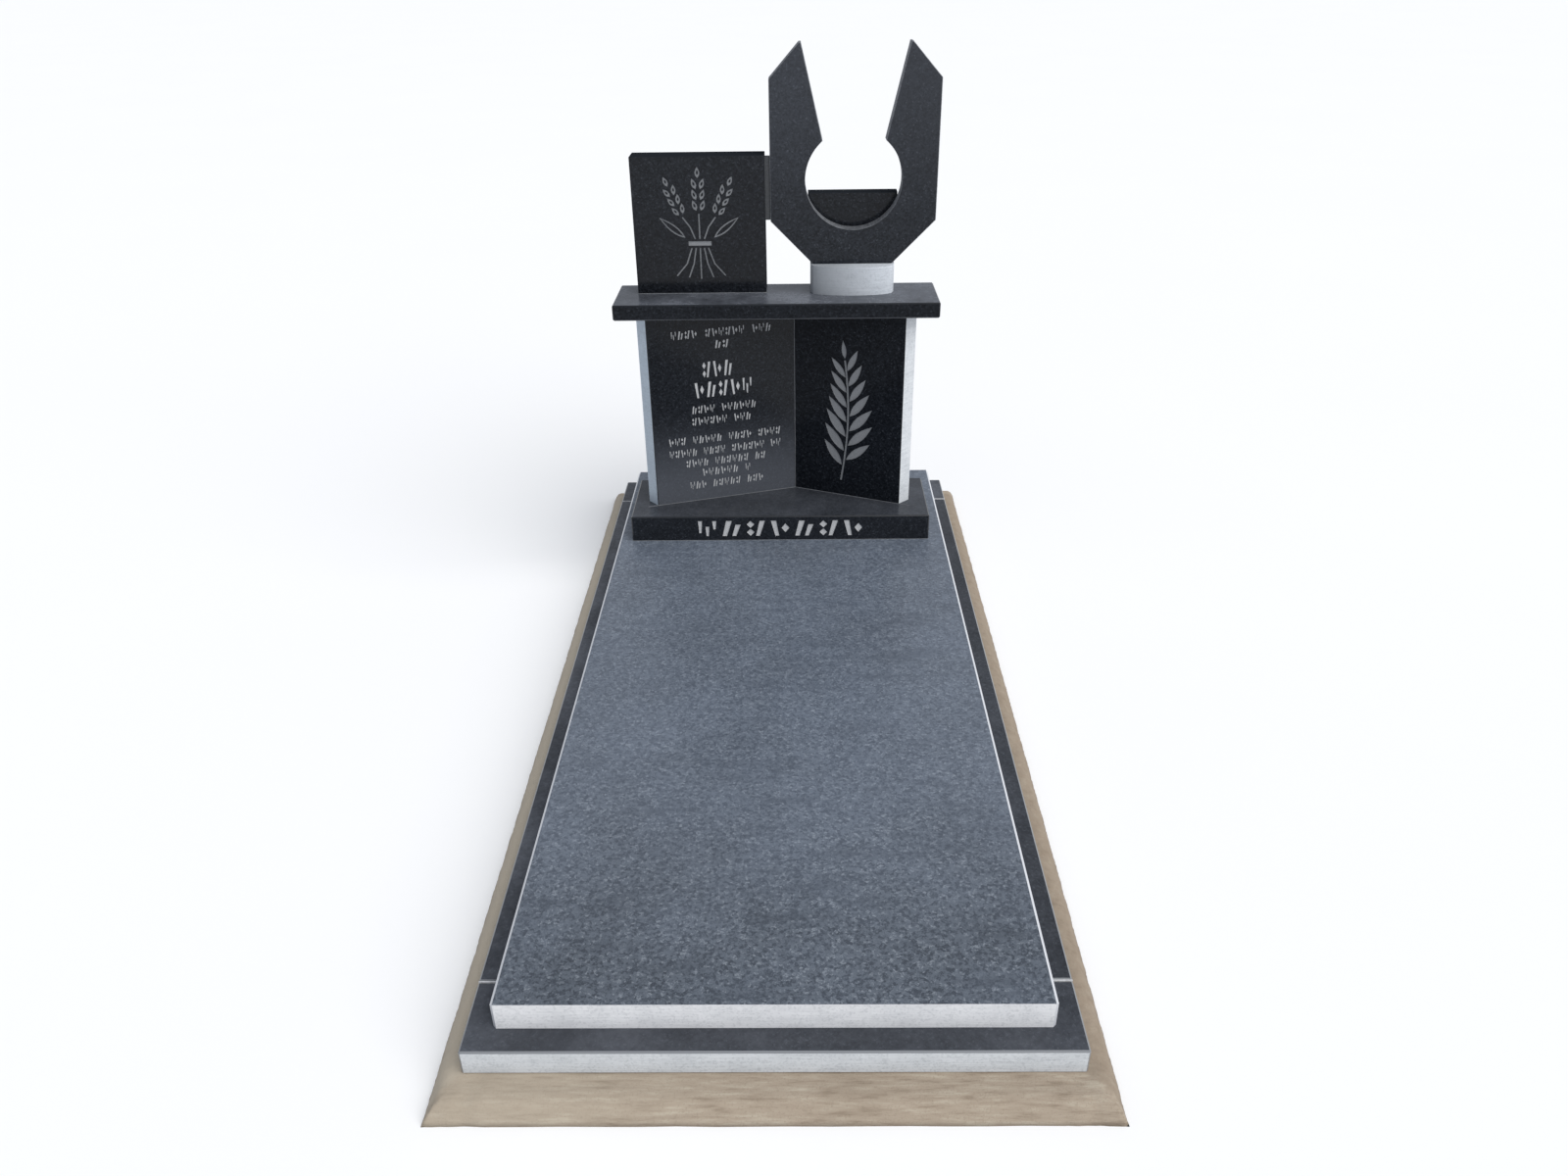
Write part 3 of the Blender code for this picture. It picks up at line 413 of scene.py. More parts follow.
def granite_material(name, palette, sawn, roughness, specular, arris, rough_palette=None, cut_plane=None,
                     cut_colour=None, turn=0.0, dust=0.2, splash=None, light_share=0.10, clouding=0.15,
                     stain=0.0, crystal=None, film_colour=None):
    """Polished granite with sawn faces, arrises and cut work on one stone.

    A thinning film is given by its axis, its start and end, and its amount. On some stones it is dust; on the
    foot kerb it is painted light, paler at its left end and darker at its right end as painted shade.
    """
    colours = bpy.context.scene.memorial_colours
    sizes = bpy.context.scene.memorial_sizes
    material, tree, shader, where = new_material(name)
    place = where["Object"]
    dark, middle, light = palette
    pale, grey = rough_palette or (colours.sawn_pale, colours.sawn_grey)
    stone = use_group(tree, granite_crystals, {
        "Place": place, "Crystal": crystal or sizes.crystal, "Dark": dark, "Middle": middle, "Light": light,
        "Light Share": light_share, "Clouding": clouding})
    rough = use_group(tree, sawn_surface, {
        "Place": place, "Line": sizes.saw_line, "Pale": pale, "Grey": grey})
    faces = use_group(tree, face_sorter, {
        "Facing": where["Normal"], "Turn": turn, "Sawn Top": sawn[0], "Sawn Front": sawn[1],
        "Sawn Back": sawn[2], "Sawn Sides": sawn[3]})
    film = use_group(tree, weather, {"Place": place, "Top": faces["Top"], "Amount": dust})
    colour_now = blend_colours(tree, maths(tree, "MULTIPLY", film["Stain"], stain), stone["Colour"], dark)
    dust_and_painted_light_film = film["Dust"]
    # The thinning film is dust on some stones and painted light on the foot kerb.
    if splash:
        axis, start, end, amount = splash
        along = feed(tree, "ShaderNodeSeparateXYZ", {0: place}).outputs[axis]
        dust_and_painted_light_film = maths(tree, "ADD", dust_and_painted_light_film, spread(tree, along, start, end, amount, 0.0))
    colour_now = blend_colours(tree, dust_and_painted_light_film, colour_now, film_colour or colours.dust_and_painted_light_haze)
    colour_now = blend_colours(tree, faces["Sawn"], colour_now, rough["Colour"])
    colour_now = blend_colours(tree, faces["Arris"], colour_now, arris)
    colour_now = blend_colours(tree, faces["Low Arris"], colour_now, colours.low_arris)
    grain = maths(tree, "MULTIPLY_ADD", stone["Grain"], 0.06, roughness - 0.03)
    rough_sawn, rough_arris, rough_cut = 0.85, 0.28, 0.9
    gloss = maths(tree, "MULTIPLY_ADD", dust_and_painted_light_film, 0.5, grain)
    gloss = blend_numbers(tree, faces["Sawn"], gloss, rough_sawn)
    gloss = blend_numbers(tree, faces["Arris"], gloss, rough_arris)
    height = maths(tree, "MULTIPLY", rough["Height"], faces["Sawn"])
    if cut_plane:
        point, inward = cut_plane
        cut = use_group(tree, cut_finder, {
            "Place": place, "Facing": where["Normal"], "Face Point": point, "Inward": inward,
            "Depth": sizes.cut_depth})["Cut"]
        blasted = noise(tree, place, 900.0, detail=1.0)
        frost = blend_colours(tree, spread(tree, blasted, 0.3, 0.7, 0.0, 0.35), cut_colour, middle)
        colour_now = blend_colours(tree, cut, colour_now, frost)
        gloss = blend_numbers(tree, cut, gloss, rough_cut)
        height = maths(tree, "MULTIPLY_ADD", blasted, cut, height)
    tree.links.new(colour_now, shader.inputs["Base Color"])
    tree.links.new(gloss, shader.inputs["Roughness"])
    shader.inputs["Specular IOR Level"].default_value = specular
    bump(tree, shader, height, 0.0003)
    return material


def polished_material(stone_name, **changes):
    """The dark polished granite, with what differs on one stone."""
    colours = bpy.context.scene.memorial_colours
    values = {
        "palette": (colours.polished_dark, colours.polished_mid, colours.polished_light),
        "sawn": (0.0, 0.0, 0.0, 0.0), "roughness": 0.15, "specular": 0.2, "arris": colours.arris,
    }
    values.update(changes)
    return granite_material(stone_name.replace("_", " ") + " granite", **values)


def sawn_material(name, pale, grey, painted_shade=None):
    """Sawn stone all over. The painted shade, if given, is two places across the stone and how dark the
    painted shade is at the first; it fades to none at the second.
    """
    material, tree, shader, where = new_material(name)
    rough = use_group(tree, sawn_surface, {
        "Place": where["Object"], "Line": bpy.context.scene.memorial_sizes.saw_line,
        "Pale": pale, "Grey": grey})
    tone = rough["Colour"]
    # Painted shade: the colour is darkened towards the first place and fades out at the second.
    if painted_shade:
        start, end, dark = painted_shade
        x = feed(tree, "ShaderNodeSeparateXYZ", {0: where["Object"]}).outputs[0]
        factor = spread(tree, x, start, end, dark, 0.0)
        tone = blend_colours(tree, factor, tone, [value * 0.5 for value in grey])
    tree.links.new(tone, shader.inputs["Base Color"])
    shader.inputs["Roughness"].default_value = 0.8
    bump(tree, shader, rough["Height"], 0.0004)
    return material


def joint_material(name, base, roughness, specular=0.5):
    """One colour, slightly uneven: grout, sealant or a dull edge."""
    material, tree, shader, where = new_material(name)
    mottle = noise(tree, where["Object"], 220.0, detail=3.0)
    darker = [value * 0.75 for value in base]
    tone = blend_colours(tree, spread(tree, mottle, 0.3, 0.7), base, darker)
    tree.links.new(tone, shader.inputs["Base Color"])
    shader.inputs["Roughness"].default_value = roughness
    shader.inputs["Specular IOR Level"].default_value = specular
    bump(tree, shader, mottle, 0.0002)
    return material


def mortar_material(name, inner):
    """Sand-coloured mortar with float streaks at both ends. Its left half and left strip are painted paler as
    painted light, and its right strip darker as painted shade.
    """
    colours = bpy.context.scene.memorial_colours
    material, tree, shader, where = new_material(name)
    place = where["Object"]
    x, y, _ = feed(tree, "ShaderNodeSeparateXYZ", {0: place}).outputs
    across = noise(tree, stretch(tree, place, (17.0, 130.0, 130.0)), 1.0, detail=5.0, roughness=0.6)
    lump = noise(tree, place, 55.0, detail=5.0, roughness=0.65)
    beside = spread(tree, maths(tree, "SUBTRACT", maths(tree, "ABSOLUTE", x),
                                maths(tree, "ADD", maths(tree, "ABSOLUTE", y), inner)), -0.012, 0.012)
    streak = blend_numbers(tree, beside, across, lump)
    sand = blend_colours(tree, spread(tree, streak, 0.25, 0.50), colours.sand_dark, colours.sand)
    sand = blend_colours(tree, spread(tree, streak, 0.48, 0.75), sand, colours.sand_pale)
    speck = cell_tone(tree, place, 520.0)
    sand = blend_colours(tree, spread(tree, speck, 0.80, 1.0, 0.0, 0.35), sand, colours.sand_dark)
    broad = noise(tree, place, 7.0, detail=4.0, roughness=0.6)
    sand = blend_colours(tree, spread(tree, broad, 0.45, 0.75, 0.0, 0.30), sand, colours.sand_dark)
    # Painted light: the left half of the bed is made paler.
    painted_light_from, painted_light_to = -0.5, 0.0
    sand = blend_colours(tree, spread(tree, x, painted_light_from, painted_light_to, 0.45, 0.0), sand, colours.sand_pale)
    # Painted light and shade: the strip beside the kerb is paler on the left and darker on the right, as
    # painted shade.
    lit_and_shaded_strips = (("LESS_THAN", 0.90, colours.sand_pale), ("GREATER_THAN", 0.55, colours.sand_dark))
    for side, share, tone in lit_and_shaded_strips:
        strip = maths(tree, "MULTIPLY", beside, maths(tree, side, x, 0.0))
        sand = blend_colours(tree, maths(tree, "MULTIPLY", strip, share), sand, tone)
    tree.links.new(sand, shader.inputs["Base Color"])
    shader.inputs["Roughness"].default_value = 0.95
    height = maths(tree, "ADD", maths(tree, "MULTIPLY", streak, 0.8), maths(tree, "MULTIPLY", speck, 0.25))
    bump(tree, shader, height, 0.0010)
    return material


def dress(name, material):
    """Give a stone its finish. The stone stays as it is."""
    STONES[name].data.materials.clear()
    STONES[name].data.materials.append(material)


def keep_piece(name, mesh):
    """Link a finished mesh as an object at the origin."""
    mesh.name = name
    made = bpy.data.objects.new(name, mesh)
    bpy.context.scene.collection.objects.link(made)
    return made


def merged_copy(stone_name):
    """A stone's mesh with its corners joined and its flat faces whole."""
    work = bmesh.new()
    work.from_mesh(STONES[stone_name].data)
    bmesh.ops.remove_doubles(work, verts=work.verts, dist=0.00001)
    bmesh.ops.dissolve_limit(work, angle_limit=math.radians(0.5), verts=work.verts, edges=work.edges)
    return work


def replace_stone(stone_name, piece_name, work, materials):
    """Put a piece in a stone's place. Its round faces are smooth and its cut edges sharp."""
    mesh = bpy.data.meshes.new(piece_name)
    work.to_mesh(mesh)
    work.free()
    imported = mesh.attributes.get("custom_normal")
    if imported:
        mesh.attributes.remove(imported)
    for material in materials:
        mesh.materials.append(material)
    mesh.shade_smooth()
    mesh.set_sharp_from_angle(angle=math.radians(30.0))
    piece = keep_piece(piece_name, mesh)
    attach(piece, BODY)
    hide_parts(stone_name)


def panel_with_dull_edges(stone_name, piece_name, **changes):
    """A standing panel: polished front and back, and dull edges all round."""
    low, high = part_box(stone_name)
    work = merged_copy(stone_name)
    rim = 0.0015
    for face in work.faces:
        middle = face.calc_center_median()
        inset = min(middle.x - low.x, high.x - middle.x, middle.z - low.z, high.z - middle.z)
        face.material_index = 1 if inset < rim else 0
    edge_colour = bpy.context.scene.memorial_colours.worn_edge
    materials = (polished_material(stone_name, **changes),
                 joint_material(stone_name.replace("_", " ") + " edge", edge_colour, 0.6, specular=0.0))
    replace_stone(stone_name, piece_name, work, materials)


def geometry_tree(name, inputs):
    """Start a geometry tree with named inputs. Return it with its inputs and its output."""
    tree = bpy.data.node_groups.new(name, "GeometryNodeTree")
    tree.interface.new_socket(name="Geometry", in_out="INPUT", socket_type="NodeSocketGeometry")
    for label, kind in inputs.items():
        tree.interface.new_socket(name=label, in_out="INPUT", socket_type=kind)
    tree.interface.new_socket(name="Geometry", in_out="OUTPUT", socket_type="NodeSocketGeometry")
    start = tree.nodes.new("NodeGroupInput")
    end = tree.nodes.new("NodeGroupOutput")
    return tree, start.outputs, end.inputs[0]


def finish_tree(tree, geometry, material, out):
    """Realize the instances, set the material and close the tree."""
    real = feed(tree, "GeometryNodeRealizeInstances", {"Geometry": geometry})
    done = feed(tree, "GeometryNodeSetMaterial", {"Geometry": real.outputs[0], "Material": material})
    tree.links.new(done.outputs[0], out)


def grow(name, base, tree, values):
    """Run a geometry tree on a base mesh and keep the result as a plain piece."""
    start = bpy.data.objects.new(name + "_base", base)
    bpy.context.scene.collection.objects.link(start)
    modifier = start.modifiers.new(name, "NODES")
    modifier.node_group = tree
    for item in tree.interface.items_tree:
        if item.in_out == "INPUT" and item.name in values:
            modifier[item.identifier] = values[item.name]
    scene_graph = bpy.context.evaluated_depsgraph_get()
    mesh = bpy.data.meshes.new_from_object(start.evaluated_get(scene_graph), depsgraph=scene_graph)
    bpy.data.objects.remove(start)
    return keep_piece(name, mesh)


def mortar_tree():
    """Rough mortar: lumps and float marks pressed into a smooth bed."""
    tree, given, out = geometry_tree("rough mortar", {
        "Dip": "NodeSocketFloat", "Lump": "NodeSocketFloat", "Streak": "NodeSocketFloat",
        "Seed": "NodeSocketFloat", "Material": "NodeSocketMaterial"})
    place = feed(tree, "GeometryNodeInputPosition").outputs[0]
    normal = feed(tree, "GeometryNodeInputNormal").outputs[0]
    lumps = seeded_noise(tree, place, given["Seed"], given["Lump"], detail=4.0)
    z = feed(tree, "ShaderNodeSeparateXYZ", {0: place}).outputs["Z"]
    narrow = vectors(tree, "MULTIPLY", place, (0.06, 1.0, 1.0))
    marks = seeded_noise(tree, narrow, given["Seed"], given["Streak"], detail=3.0)
    depth = maths(tree, "ADD", maths(tree, "MULTIPLY", spread(tree, lumps, 0.3, 0.75), 0.65),
                  maths(tree, "MULTIPLY", spread(tree, marks, 0.3, 0.7), 0.35))
    depth = maths(tree, "MULTIPLY", maths(tree, "MULTIPLY", depth, given["Dip"]), -1.0)
    push = scaled(tree, normal, depth)
    push_x, push_y, push_z = feed(tree, "ShaderNodeSeparateXYZ", {0: push}).outputs
    above = maths(tree, "GREATER_THAN", z, 0.0001)
    level = maths(tree, "MULTIPLY", push_z, above)
    offset = feed(tree, "ShaderNodeCombineXYZ", {0: push_x, 1: push_y, 2: level}).outputs[0]
    moved = feed(tree, "GeometryNodeSetPosition", {"Geometry": given["Geometry"], "Offset": offset})
    smooth = feed(tree, "GeometryNodeSetShadeSmooth", {"Geometry": moved.outputs[0]})
    finish_tree(tree, smooth.outputs[0], given["Material"], out)
    return tree


def bead_tree():
    """A slightly uneven round bead along every path."""
    tree, given, out = geometry_tree("sealant bead", {
        "Radius": "NodeSocketFloat", "Step": "NodeSocketFloat", "Unevenness": "NodeSocketFloat",
        "Seed": "NodeSocketFloat", "Material": "NodeSocketMaterial"})
    curve = feed(tree, "GeometryNodeMeshToCurve", {0: given["Geometry"]})
    even = feed(tree, "GeometryNodeResampleCurve", {"Curve": curve.outputs[0], "Length": given["Step"]},
                mode="LENGTH")
    place = feed(tree, "GeometryNodeInputPosition").outputs[0]
    wave = seeded_noise(tree, place, given["Seed"], 40.0)
    thin = maths(tree, "SUBTRACT", 1.0, given["Unevenness"])
    factor = spread(tree, wave, 0.3, 0.7, thin, 1.0)
    ring = feed(tree, "GeometryNodeCurvePrimitiveCircle", {"Resolution": 10, "Radius": given["Radius"]},
                mode="RADIUS")
    body = feed(tree, "GeometryNodeCurveToMesh", {
        "Curve": even.outputs[0], "Profile Curve": ring.outputs[0], "Scale": factor, "Fill Caps": True})
    smooth = feed(tree, "GeometryNodeSetShadeSmooth", {"Geometry": body.outputs[0]})
    finish_tree(tree, smooth.outputs[0], given["Material"], out)
    return tree


def filled_joint_tree(name):
    """A strip of filling at every joint, with a rough face."""
    tree, given, out = geometry_tree(name, {
        "Strip": "NodeSocketVector", "Sink": "NodeSocketFloat", "Seed": "NodeSocketFloat",
        "Material": "NodeSocketMaterial"})
    strip = feed(tree, "GeometryNodeMeshCube",
                 {"Size": given["Strip"], "Vertices X": 60, "Vertices Y": 3, "Vertices Z": 12})
    laid = feed(tree, "GeometryNodeInstanceOnPoints",
                {"Points": given["Geometry"], "Instance": strip.outputs[0]})
    real = feed(tree, "GeometryNodeRealizeInstances", {"Geometry": laid.outputs[0]})
    place = feed(tree, "GeometryNodeInputPosition").outputs[0]
    normal = feed(tree, "GeometryNodeInputNormal").outputs[0]
    rough = seeded_noise(tree, place, given["Seed"], 160.0)
    depth = maths(tree, "MULTIPLY", maths(tree, "MULTIPLY", rough, given["Sink"]), -1.0)
    moved = feed(tree, "GeometryNodeSetPosition",
                 {"Geometry": real.outputs[0], "Offset": scaled(tree, normal, depth)})
    finish_tree(tree, moved.outputs[0], given["Material"], out)
    return tree


def fill_joints(piece_name, points, strip, sink, seed, material):
    """Fill joints of one size, given their middle points, as one piece."""
    values = {"Strip": strip, "Sink": sink, "Seed": seed, "Material": material}
    tree = filled_joint_tree(piece_name.replace("_", " "))
    piece = grow(piece_name, path_mesh([([point], False) for point in points]), tree, values)
    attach(piece, BODY)


def grid_lines(low, high, margin, fine, coarse):
    """Lines across a strip: close together near both ends and far apart between them."""
    lines = []
    for start, end, step in ((low, low + margin, fine), (low + margin, high - margin, coarse),
                             (high - margin, high, fine)):
        count = max(1, round((end - start) / step))
        lines += [start + (end - start) * i / count for i in range(count)]
    return lines + [high]


def smooth_bed(low, high, slope, x_lines, y_lines):
    """A closed bed with a rounded shoulder all round and a flat underside."""
    work = bmesh.new()
    rows = []
    for y in y_lines:
        row = []
        for x in x_lines:
            edge = min(x - low.x, high.x - x, y - low.y, high.y - y)
            rise = 1.0 - (1.0 - min(1.0, edge / slope)) ** 3
            row.append(work.verts.new((x, y, low.z + (high.z - low.z) * rise)))
        rows.append(row)
    for lower, upper in zip(rows, rows[1:]):
        for i in range(len(x_lines) - 1):
            work.faces.new((lower[i], lower[i + 1], upper[i + 1], upper[i]))
    right = [row[-1] for row in rows[1:-1]]
    left = [row[0] for row in rows[1:-1]]
    work.faces.new((rows[0] + right + rows[-1][::-1] + left[::-1])[::-1])
    mesh = bpy.data.meshes.new("smooth bed")
    work.to_mesh(mesh)
    work.free()
    return mesh


def path_mesh(paths):
    """Several open or closed paths as edges. A path is its points and whether it closes."""
    points = []
    edges = []
    for corners, closed in paths:
        first = len(points)
        points += corners
        edges += [(first + i, first + i + 1) for i in range(len(corners) - 1)]
        if closed:
            edges.append((first + len(corners) - 1, first))
    mesh = bpy.data.meshes.new("paths")
    mesh.from_pydata(points, edges, [])
    return mesh


def foot_corners(stone_name, level):
    """Corners of a square stone's foot at a level."""
    low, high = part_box(stone_name)
    return [(low.x, low.y, level), (high.x, low.y, level), (high.x, high.y, level), (low.x, high.y, level)]


class MEMORIAL_OT_footing(bpy.types.Operator):
    """Lay the rough mortar bed under the kerbs"""

    bl_idname = "memorial.footing"
    bl_label = "Mortar bed"

    def execute(self, context):
        sizes = context.scene.memorial_sizes
        low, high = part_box("footing")
        kerb_low, kerb_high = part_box("kerb_foot")
        x_lines = grid_lines(low.x, high.x, sizes.bed_margin, sizes.bed_fine, sizes.bed_coarse)
        y_lines = grid_lines(low.y, high.y, sizes.bed_margin, sizes.bed_fine, sizes.bed_fine)
        inner = kerb_high.x + kerb_low.y
        values = {"Dip": sizes.bed_dip, "Lump": 26.0, "Streak": 120.0, "Seed": 3.0,
                  "Material": mortar_material("footing mortar", inner)}
        bed = grow("mortar_bed", smooth_bed(low, high, sizes.slope, x_lines, y_lines), mortar_tree(), values)
        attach(bed, BODY)
        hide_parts("footing")
        return {"FINISHED"}


class MEMORIAL_OT_kerbs(bpy.types.Operator):
    """Finish the four kerb bars"""

    bl_idname = "memorial.kerbs"
    bl_label = "Kerbs"

    def execute(self, context):
        colours = context.scene.memorial_colours
        rough = (colours.kerb_pale, colours.kerb_grey)
        low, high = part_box("kerb_foot")
        bars = (
            # The foot kerb's thinning film is painted light: paler towards its left end and darker at its
            # right end as painted shade.
            ("kerb_foot", (0.0, 1.0, 0.0, 1.0), 0.15, (0, low.x, high.x, 0.05)),
            ("kerb_head", (0.0, 0.0, 1.0, 1.0), 0.22, None),
            ("kerb_left", (0.0, 0.0, 0.0, 1.0), 0.22, None),
            ("kerb_right", (0.0, 0.0, 0.0, 1.0), 0.11, None),
        )
        for name, sawn, dust, splash in bars:
            dress(name, polished_material(name, sawn=sawn, rough_palette=rough, dust=dust,
                                          arris=colours.kerb_arris, splash=splash))
        return {"FINISHED"}


class MEMORIAL_OT_kerb_joints(bpy.types.Operator):
    """Fill the four kerb joints with grout"""

    bl_idname = "memorial.kerb_joints"
    bl_label = "Kerb joints"

    def execute(self, context):
        sizes = context.scene.memorial_sizes
        foot_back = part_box("kerb_foot")[1].y
        head_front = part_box("kerb_head")[0].y
        points = []
        for name in ("kerb_left", "kerb_right"):
            low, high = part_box(name)
            middle = (low + high) / 2
            points += [(middle.x, y, middle.z)
                       for y in ((foot_back + low.y) / 2, (high.y + head_front) / 2)]
        strip = (high.x - low.x, low.y - foot_back - 2 * sizes.joint_slack, high.z - low.z)
        grout = joint_material("white grout", context.scene.memorial_colours.grout, 0.9)
        fill_joints("kerb_grout", points, strip, 0.0006, 5.0, grout)
        return {"FINISHED"}


class MEMORIAL_OT_ledger(bpy.types.Operator):
    """Finish the ledger slab"""

    bl_idname = "memorial.ledger"
    bl_label = "Ledger"

    def execute(self, context):
        colours = context.scene.memorial_colours
        sizes = context.scene.memorial_sizes
        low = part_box("ledger")[0]
        dress("ledger", granite_material(
            "ledger granite", (colours.ledger_dark, colours.ledger_mid, colours.ledger_light),
            sawn=(0.0, 1.0, 1.0, 1.0), roughness=0.30, specular=0.5, arris=colours.ledger_arris, dust=0.10,
            splash=(1, low.y + sizes.foot_film, low.y, 0.10), light_share=0.12, clouding=0.06, stain=0.45,
            crystal=sizes.ledger_crystal, film_colour=colours.ledger_film))
        return {"FINISHED"}


class MEMORIAL_OT_plinth(bpy.types.Operator):
    """Finish the plinth and frost its row of marks"""

    bl_idname = "memorial.plinth"
    bl_label = "Plinth"

    def execute(self, context):
        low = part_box("plinth")[0]
        dress("plinth", polished_material(
            "plinth", dust=0.12, splash=(2, low.z, low.z + 1.0, 0.014),
            cut_plane=front_plane(STONES["plinth"]),
            cut_colour=context.scene.memorial_colours.frosted))
        return {"FINISHED"}


class MEMORIAL_OT_book(bpy.types.Operator):
    """Finish the two leaves of the open book"""

    bl_idname = "memorial.book"
    bl_label = "Open book"

    def execute(self, context):
        colours = context.scene.memorial_colours
        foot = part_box("book_left")[0].z
        film_end = foot + context.scene.memorial_sizes.leaf_film
        leaves = (
            ("book_left", colours.frosted, (2, foot, film_end, 0.17), 0.2,
             (colours.shaded_pale, colours.shaded_grey)),
            ("book_right", colours.motif, None, 0.05, (colours.kerb_pale, colours.kerb_grey)),
        )
        for name, cut_colour, splash, specular, rough in leaves:
            point, inward = front_plane(STONES[name])
            dress(name, polished_material(
                name, sawn=(0.0, 0.0, 0.0, 1.0), cut_plane=(point, inward), cut_colour=cut_colour,
                turn=math.atan2(inward.x, inward.y), splash=splash, specular=specular,
                rough_palette=rough))
        return {"FINISHED"}


class MEMORIAL_OT_cap(bpy.types.Operator):
    """Finish the cap slab"""

    bl_idname = "memorial.cap"
    bl_label = "Cap"

    def execute(self, context):
        dress("cap", polished_material("cap", dust=0.36, specular=0.10))
        return {"FINISHED"}


class MEMORIAL_OT_square_panel(bpy.types.Operator):
    """Finish the square panel and frost its sheaf of wheat"""

    bl_idname = "memorial.square_panel"
    bl_label = "Square panel"

    def execute(self, context):
        panel_with_dull_edges(
            "square_panel", "sheaf_panel", cut_plane=front_plane(STONES["square_panel"]),
            cut_colour=context.scene.memorial_colours.motif)
        return {"FINISHED"}


class MEMORIAL_OT_neck(bpy.types.Operator):
    """Make the bowed neck block as one smooth sawn piece"""

    bl_idname = "memorial.neck"
    bl_label = "Neck"

    def execute(self, context):
        colours = context.scene.memorial_colours
        low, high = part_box("neck")
        # Painted shade: the neck is darkened towards its left end, as if the light came from its right.
        sawn = sawn_material("neck granite", colours.neck_pale, colours.neck_grey, painted_shade=(low.x, high.x, 0.85))
        replace_stone("neck", "sawn_neck", merged_copy("neck"), [sawn])
        return {"FINISHED"}


class MEMORIAL_OT_fork(bpy.types.Operator):
    """Make the forked slab with polished faces and a honed rim"""

    bl_idname = "memorial.fork"
    bl_label = "Forked slab"

    def execute(self, context):
        colours = context.scene.memorial_colours
        work = merged_copy("fork")
        for face in work.faces:
            face.material_index = 0 if abs(face.normal.y) > 0.9 else 1
        # Painted reflection: the fork's polished faces get crystals 1.5 times lighter, standing in for the
        # surroundings reflected in them.
        painted_reflection_gain = 1.5
        painted_reflection_palette = [[value * painted_reflection_gain for value in tone] for tone in (
            colours.polished_dark, colours.polished_mid, colours.polished_light)]
        low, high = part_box("fork")
        face_stone = polished_material(
            "fork", palette=painted_reflection_palette, light_share=0.06, splash=(2, high.z, low.z, 0.06))
        rim = sawn_material("fork rim", colours.rim, colours.polished_light)
        replace_stone("fork", "polished_fork", work, (face_stone, rim))
        return {"FINISHED"}


class MEMORIAL_OT_back_slab(bpy.types.Operator):
    """Finish the plain slab behind the fork"""

    bl_idname = "memorial.back_slab"
    bl_label = "Back slab"

    def execute(self, context):
        panel_with_dull_edges("back_slab", "plain_back_slab")
        return {"FINISHED"}


class MEMORIAL_OT_beads(bpy.types.Operator):
    """Run beads of sealant along the feet of the stones"""

    bl_idname = "memorial.beads"
    bl_label = "Sealant beads"

    def execute(self, context):
        sizes = context.scene.memorial_sizes
        colours = context.scene.memorial_colours
        ledger_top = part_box("ledger")[1].z
        plinth_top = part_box("plinth")[1].z
        cap_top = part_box("cap")[1].z
        paths = [(foot_corners("plinth", ledger_top), True), (foot_corners("square_panel", cap_top), True)]
        for name in ("book_left", "book_right"):
            point, inward = front_plane(STONES[name])
            low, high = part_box(name)
            along = Vector((inward.y, -inward.x, 0.0))
            ends = [point + along * ((x - point.x) / along.x) for x in (low.x, high.x)]
            paths.append(([(end.x, end.y, plinth_top) for end in ends], False))
            spine = ends[1] if name == "book_left" else ends[0]
        paths.append(([(spine.x, spine.y, z) for z in (plinth_top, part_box("cap")[0].z)], False))
        values = {"Radius": sizes.bead, "Step": sizes.bead_step, "Unevenness": 0.35, "Seed": 7.0,
                  "Material": joint_material("grey sealant", colours.bead, 0.5)}
        beads = grow("sealant_beads", path_mesh(paths), bead_tree(), values)
        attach(beads, BODY)
        return {"FINISHED"}


class MEMORIAL_OT_panel_joint(bpy.types.Operator):
    """Fill the narrow gap between the square panel and the fork's left arm"""

    bl_idname = "memorial.panel_joint"
    bl_label = "Panel joint"

    def execute(self, context):
        sizes = context.scene.memorial_sizes
        panel_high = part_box("square_panel")[1]
        fork_low, fork_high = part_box("fork")
        low = Vector((panel_high.x, fork_low.y + sizes.joint_recess, fork_low.z + sizes.hip_height))
        high = Vector((fork_low.x, fork_high.y - sizes.joint_recess, panel_high.z - sizes.joint_recess))
        slack = Vector((2 * sizes.joint_slack, 0.0, 0.0))
        sealant = joint_material("panel joint sealant", context.scene.memorial_colours.panel_joint, 0.6)
        fill_joints("panel_joint", [(low + high) / 2], high - low - slack, 0.0004, 9.0, sealant)
        return {"FINISHED"}


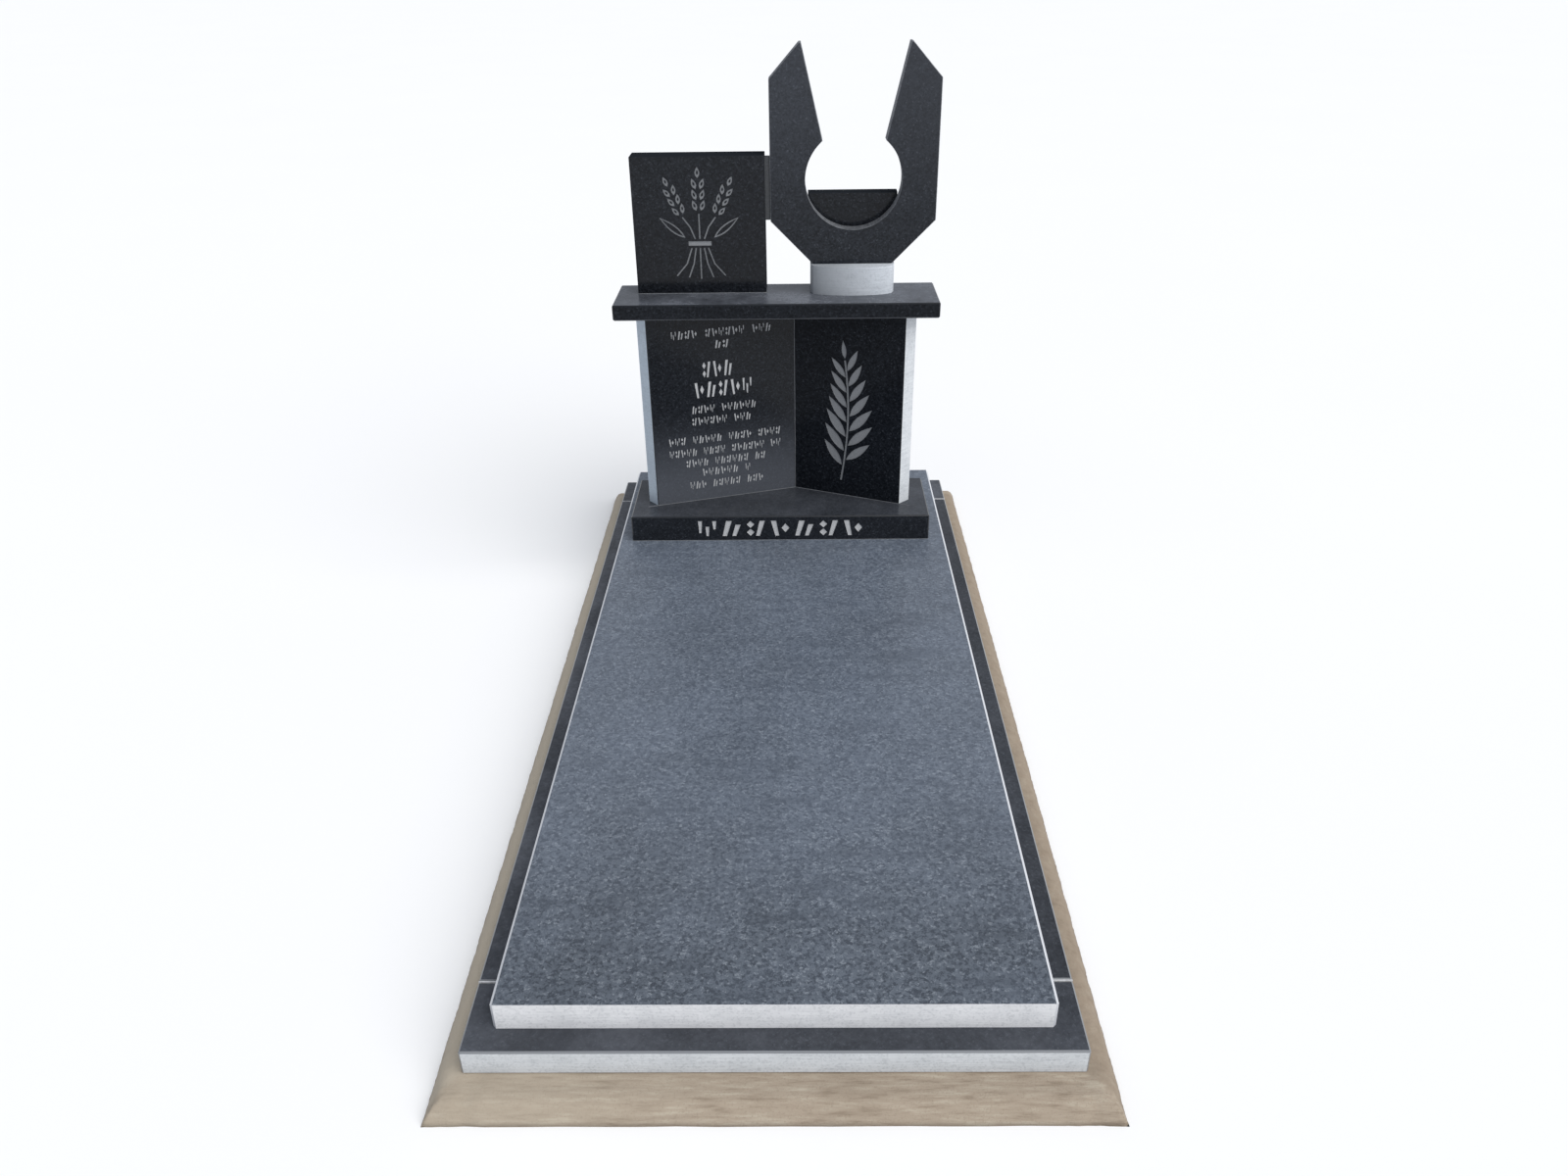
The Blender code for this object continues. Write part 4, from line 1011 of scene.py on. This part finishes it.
class MEMORIAL_OT_stage(bpy.types.Operator):
    """Set up the plain floor, the soft light and the camera"""

    bl_idname = "memorial.stage"
    bl_label = "Studio"

    def execute(self, context):
        scene = context.scene
        stage = scene.memorial_stage
        reach = stage.floor_reach
        mesh = bpy.data.meshes.new("floor")
        corners = [(-reach, -reach, 0.0), (reach, -reach, 0.0), (reach, reach, 0.0), (-reach, reach, 0.0)]
        mesh.from_pydata(corners, [], [(0, 1, 2, 3)])
        material, tree, shader, where = new_material("plain floor")
        patch = noise(tree, where["Object"], 0.8, detail=2.0)
        dimmer = [value * 0.985 for value in stage.floor]
        tree.links.new(blend_colours(tree, patch, stage.floor, dimmer), shader.inputs["Base Color"])
        shader.inputs["Roughness"].default_value = 0.95
        shader.inputs["Specular IOR Level"].default_value = 0.1
        mesh.materials.append(material)
        keep_piece("floor", mesh)

        world = bpy.data.worlds.new("studio")
        scene.world = world
        world.use_nodes = True
        background = world.node_tree.nodes["Background"]
        background.inputs["Color"].default_value = (*stage.sky, 1.0)
        background.inputs["Strength"].default_value = stage.sky_power

        key = bpy.data.lights.new("key light", "SUN")
        key.energy = stage.key_power
        key.angle = stage.key_spread
        key.color = stage.key_colour
        key_object = bpy.data.objects.new("key light", key)
        key_object.matrix_world = (Matrix.Rotation(stage.key_side, 4, "Z")
                                   @ Matrix.Rotation(math.pi / 2 - stage.key_height, 4, "X"))
        scene.collection.objects.link(key_object)

        camera = bpy.data.cameras.new("camera")
        camera.sensor_width = 36.0
        camera.lens = stage.lens
        camera.clip_end = 4 * reach
        camera_object = bpy.data.objects.new("camera", camera)
        camera_object.matrix_world = (Matrix.Translation(stage.eye)
                                      @ Matrix.Rotation(stage.yaw, 4, "Z")
                                      @ Matrix.Rotation(math.pi / 2 - stage.pitch, 4, "X")
                                      @ Matrix.Rotation(stage.roll, 4, "Z"))
        scene.collection.objects.link(camera_object)
        scene.camera = camera_object
        scene.view_settings.view_transform = "Standard"
        return {"FINISHED"}


PIECE_OPERATORS = (
    MEMORIAL_OT_footing, MEMORIAL_OT_kerbs, MEMORIAL_OT_kerb_joints, MEMORIAL_OT_ledger,
    MEMORIAL_OT_plinth, MEMORIAL_OT_book, MEMORIAL_OT_cap, MEMORIAL_OT_square_panel,
    MEMORIAL_OT_neck, MEMORIAL_OT_fork, MEMORIAL_OT_back_slab, MEMORIAL_OT_beads,
    MEMORIAL_OT_panel_joint, MEMORIAL_OT_stage,
)


class MEMORIAL_PT_panel(bpy.types.Panel):
    """Lists the pieces of the memorial and their settings"""

    bl_idname = "MEMORIAL_PT_panel"
    bl_label = "Grave memorial"
    bl_space_type = "VIEW_3D"
    bl_region_type = "UI"
    bl_category = "Memorial"

    def draw(self, context):
        layout = self.layout
        for operator in PIECE_OPERATORS:
            layout.operator(operator.bl_idname)
        scene = context.scene
        for group in (scene.memorial_sizes, scene.memorial_colours, scene.memorial_stage):
            box = layout.box()
            for key in group.bl_rna.properties.keys():
                if key not in ("rna_type", "name"):
                    box.prop(group, key)


CLASSES = (MemorialColours, MemorialSizes, MemorialStage, *PIECE_OPERATORS, MEMORIAL_PT_panel)


def register():
    """Register the add-on's classes and its settings."""
    for entry in CLASSES:
        bpy.utils.register_class(entry)
    bpy.types.Scene.memorial_colours = PointerProperty(type=MemorialColours)
    bpy.types.Scene.memorial_sizes = PointerProperty(type=MemorialSizes)
    bpy.types.Scene.memorial_stage = PointerProperty(type=MemorialStage)


def unregister():
    """Take the add-on's settings and classes away again."""
    del bpy.types.Scene.memorial_stage
    del bpy.types.Scene.memorial_sizes
    del bpy.types.Scene.memorial_colours
    for entry in reversed(CLASSES):
        bpy.utils.unregister_class(entry)


def main():
    """Finish every stone and set the stage."""
    register()
    for operator in PIECE_OPERATORS:
        family, name = operator.bl_idname.split(".")
        getattr(getattr(bpy.ops, family), name)()


if __name__ == "__main__":
    main()
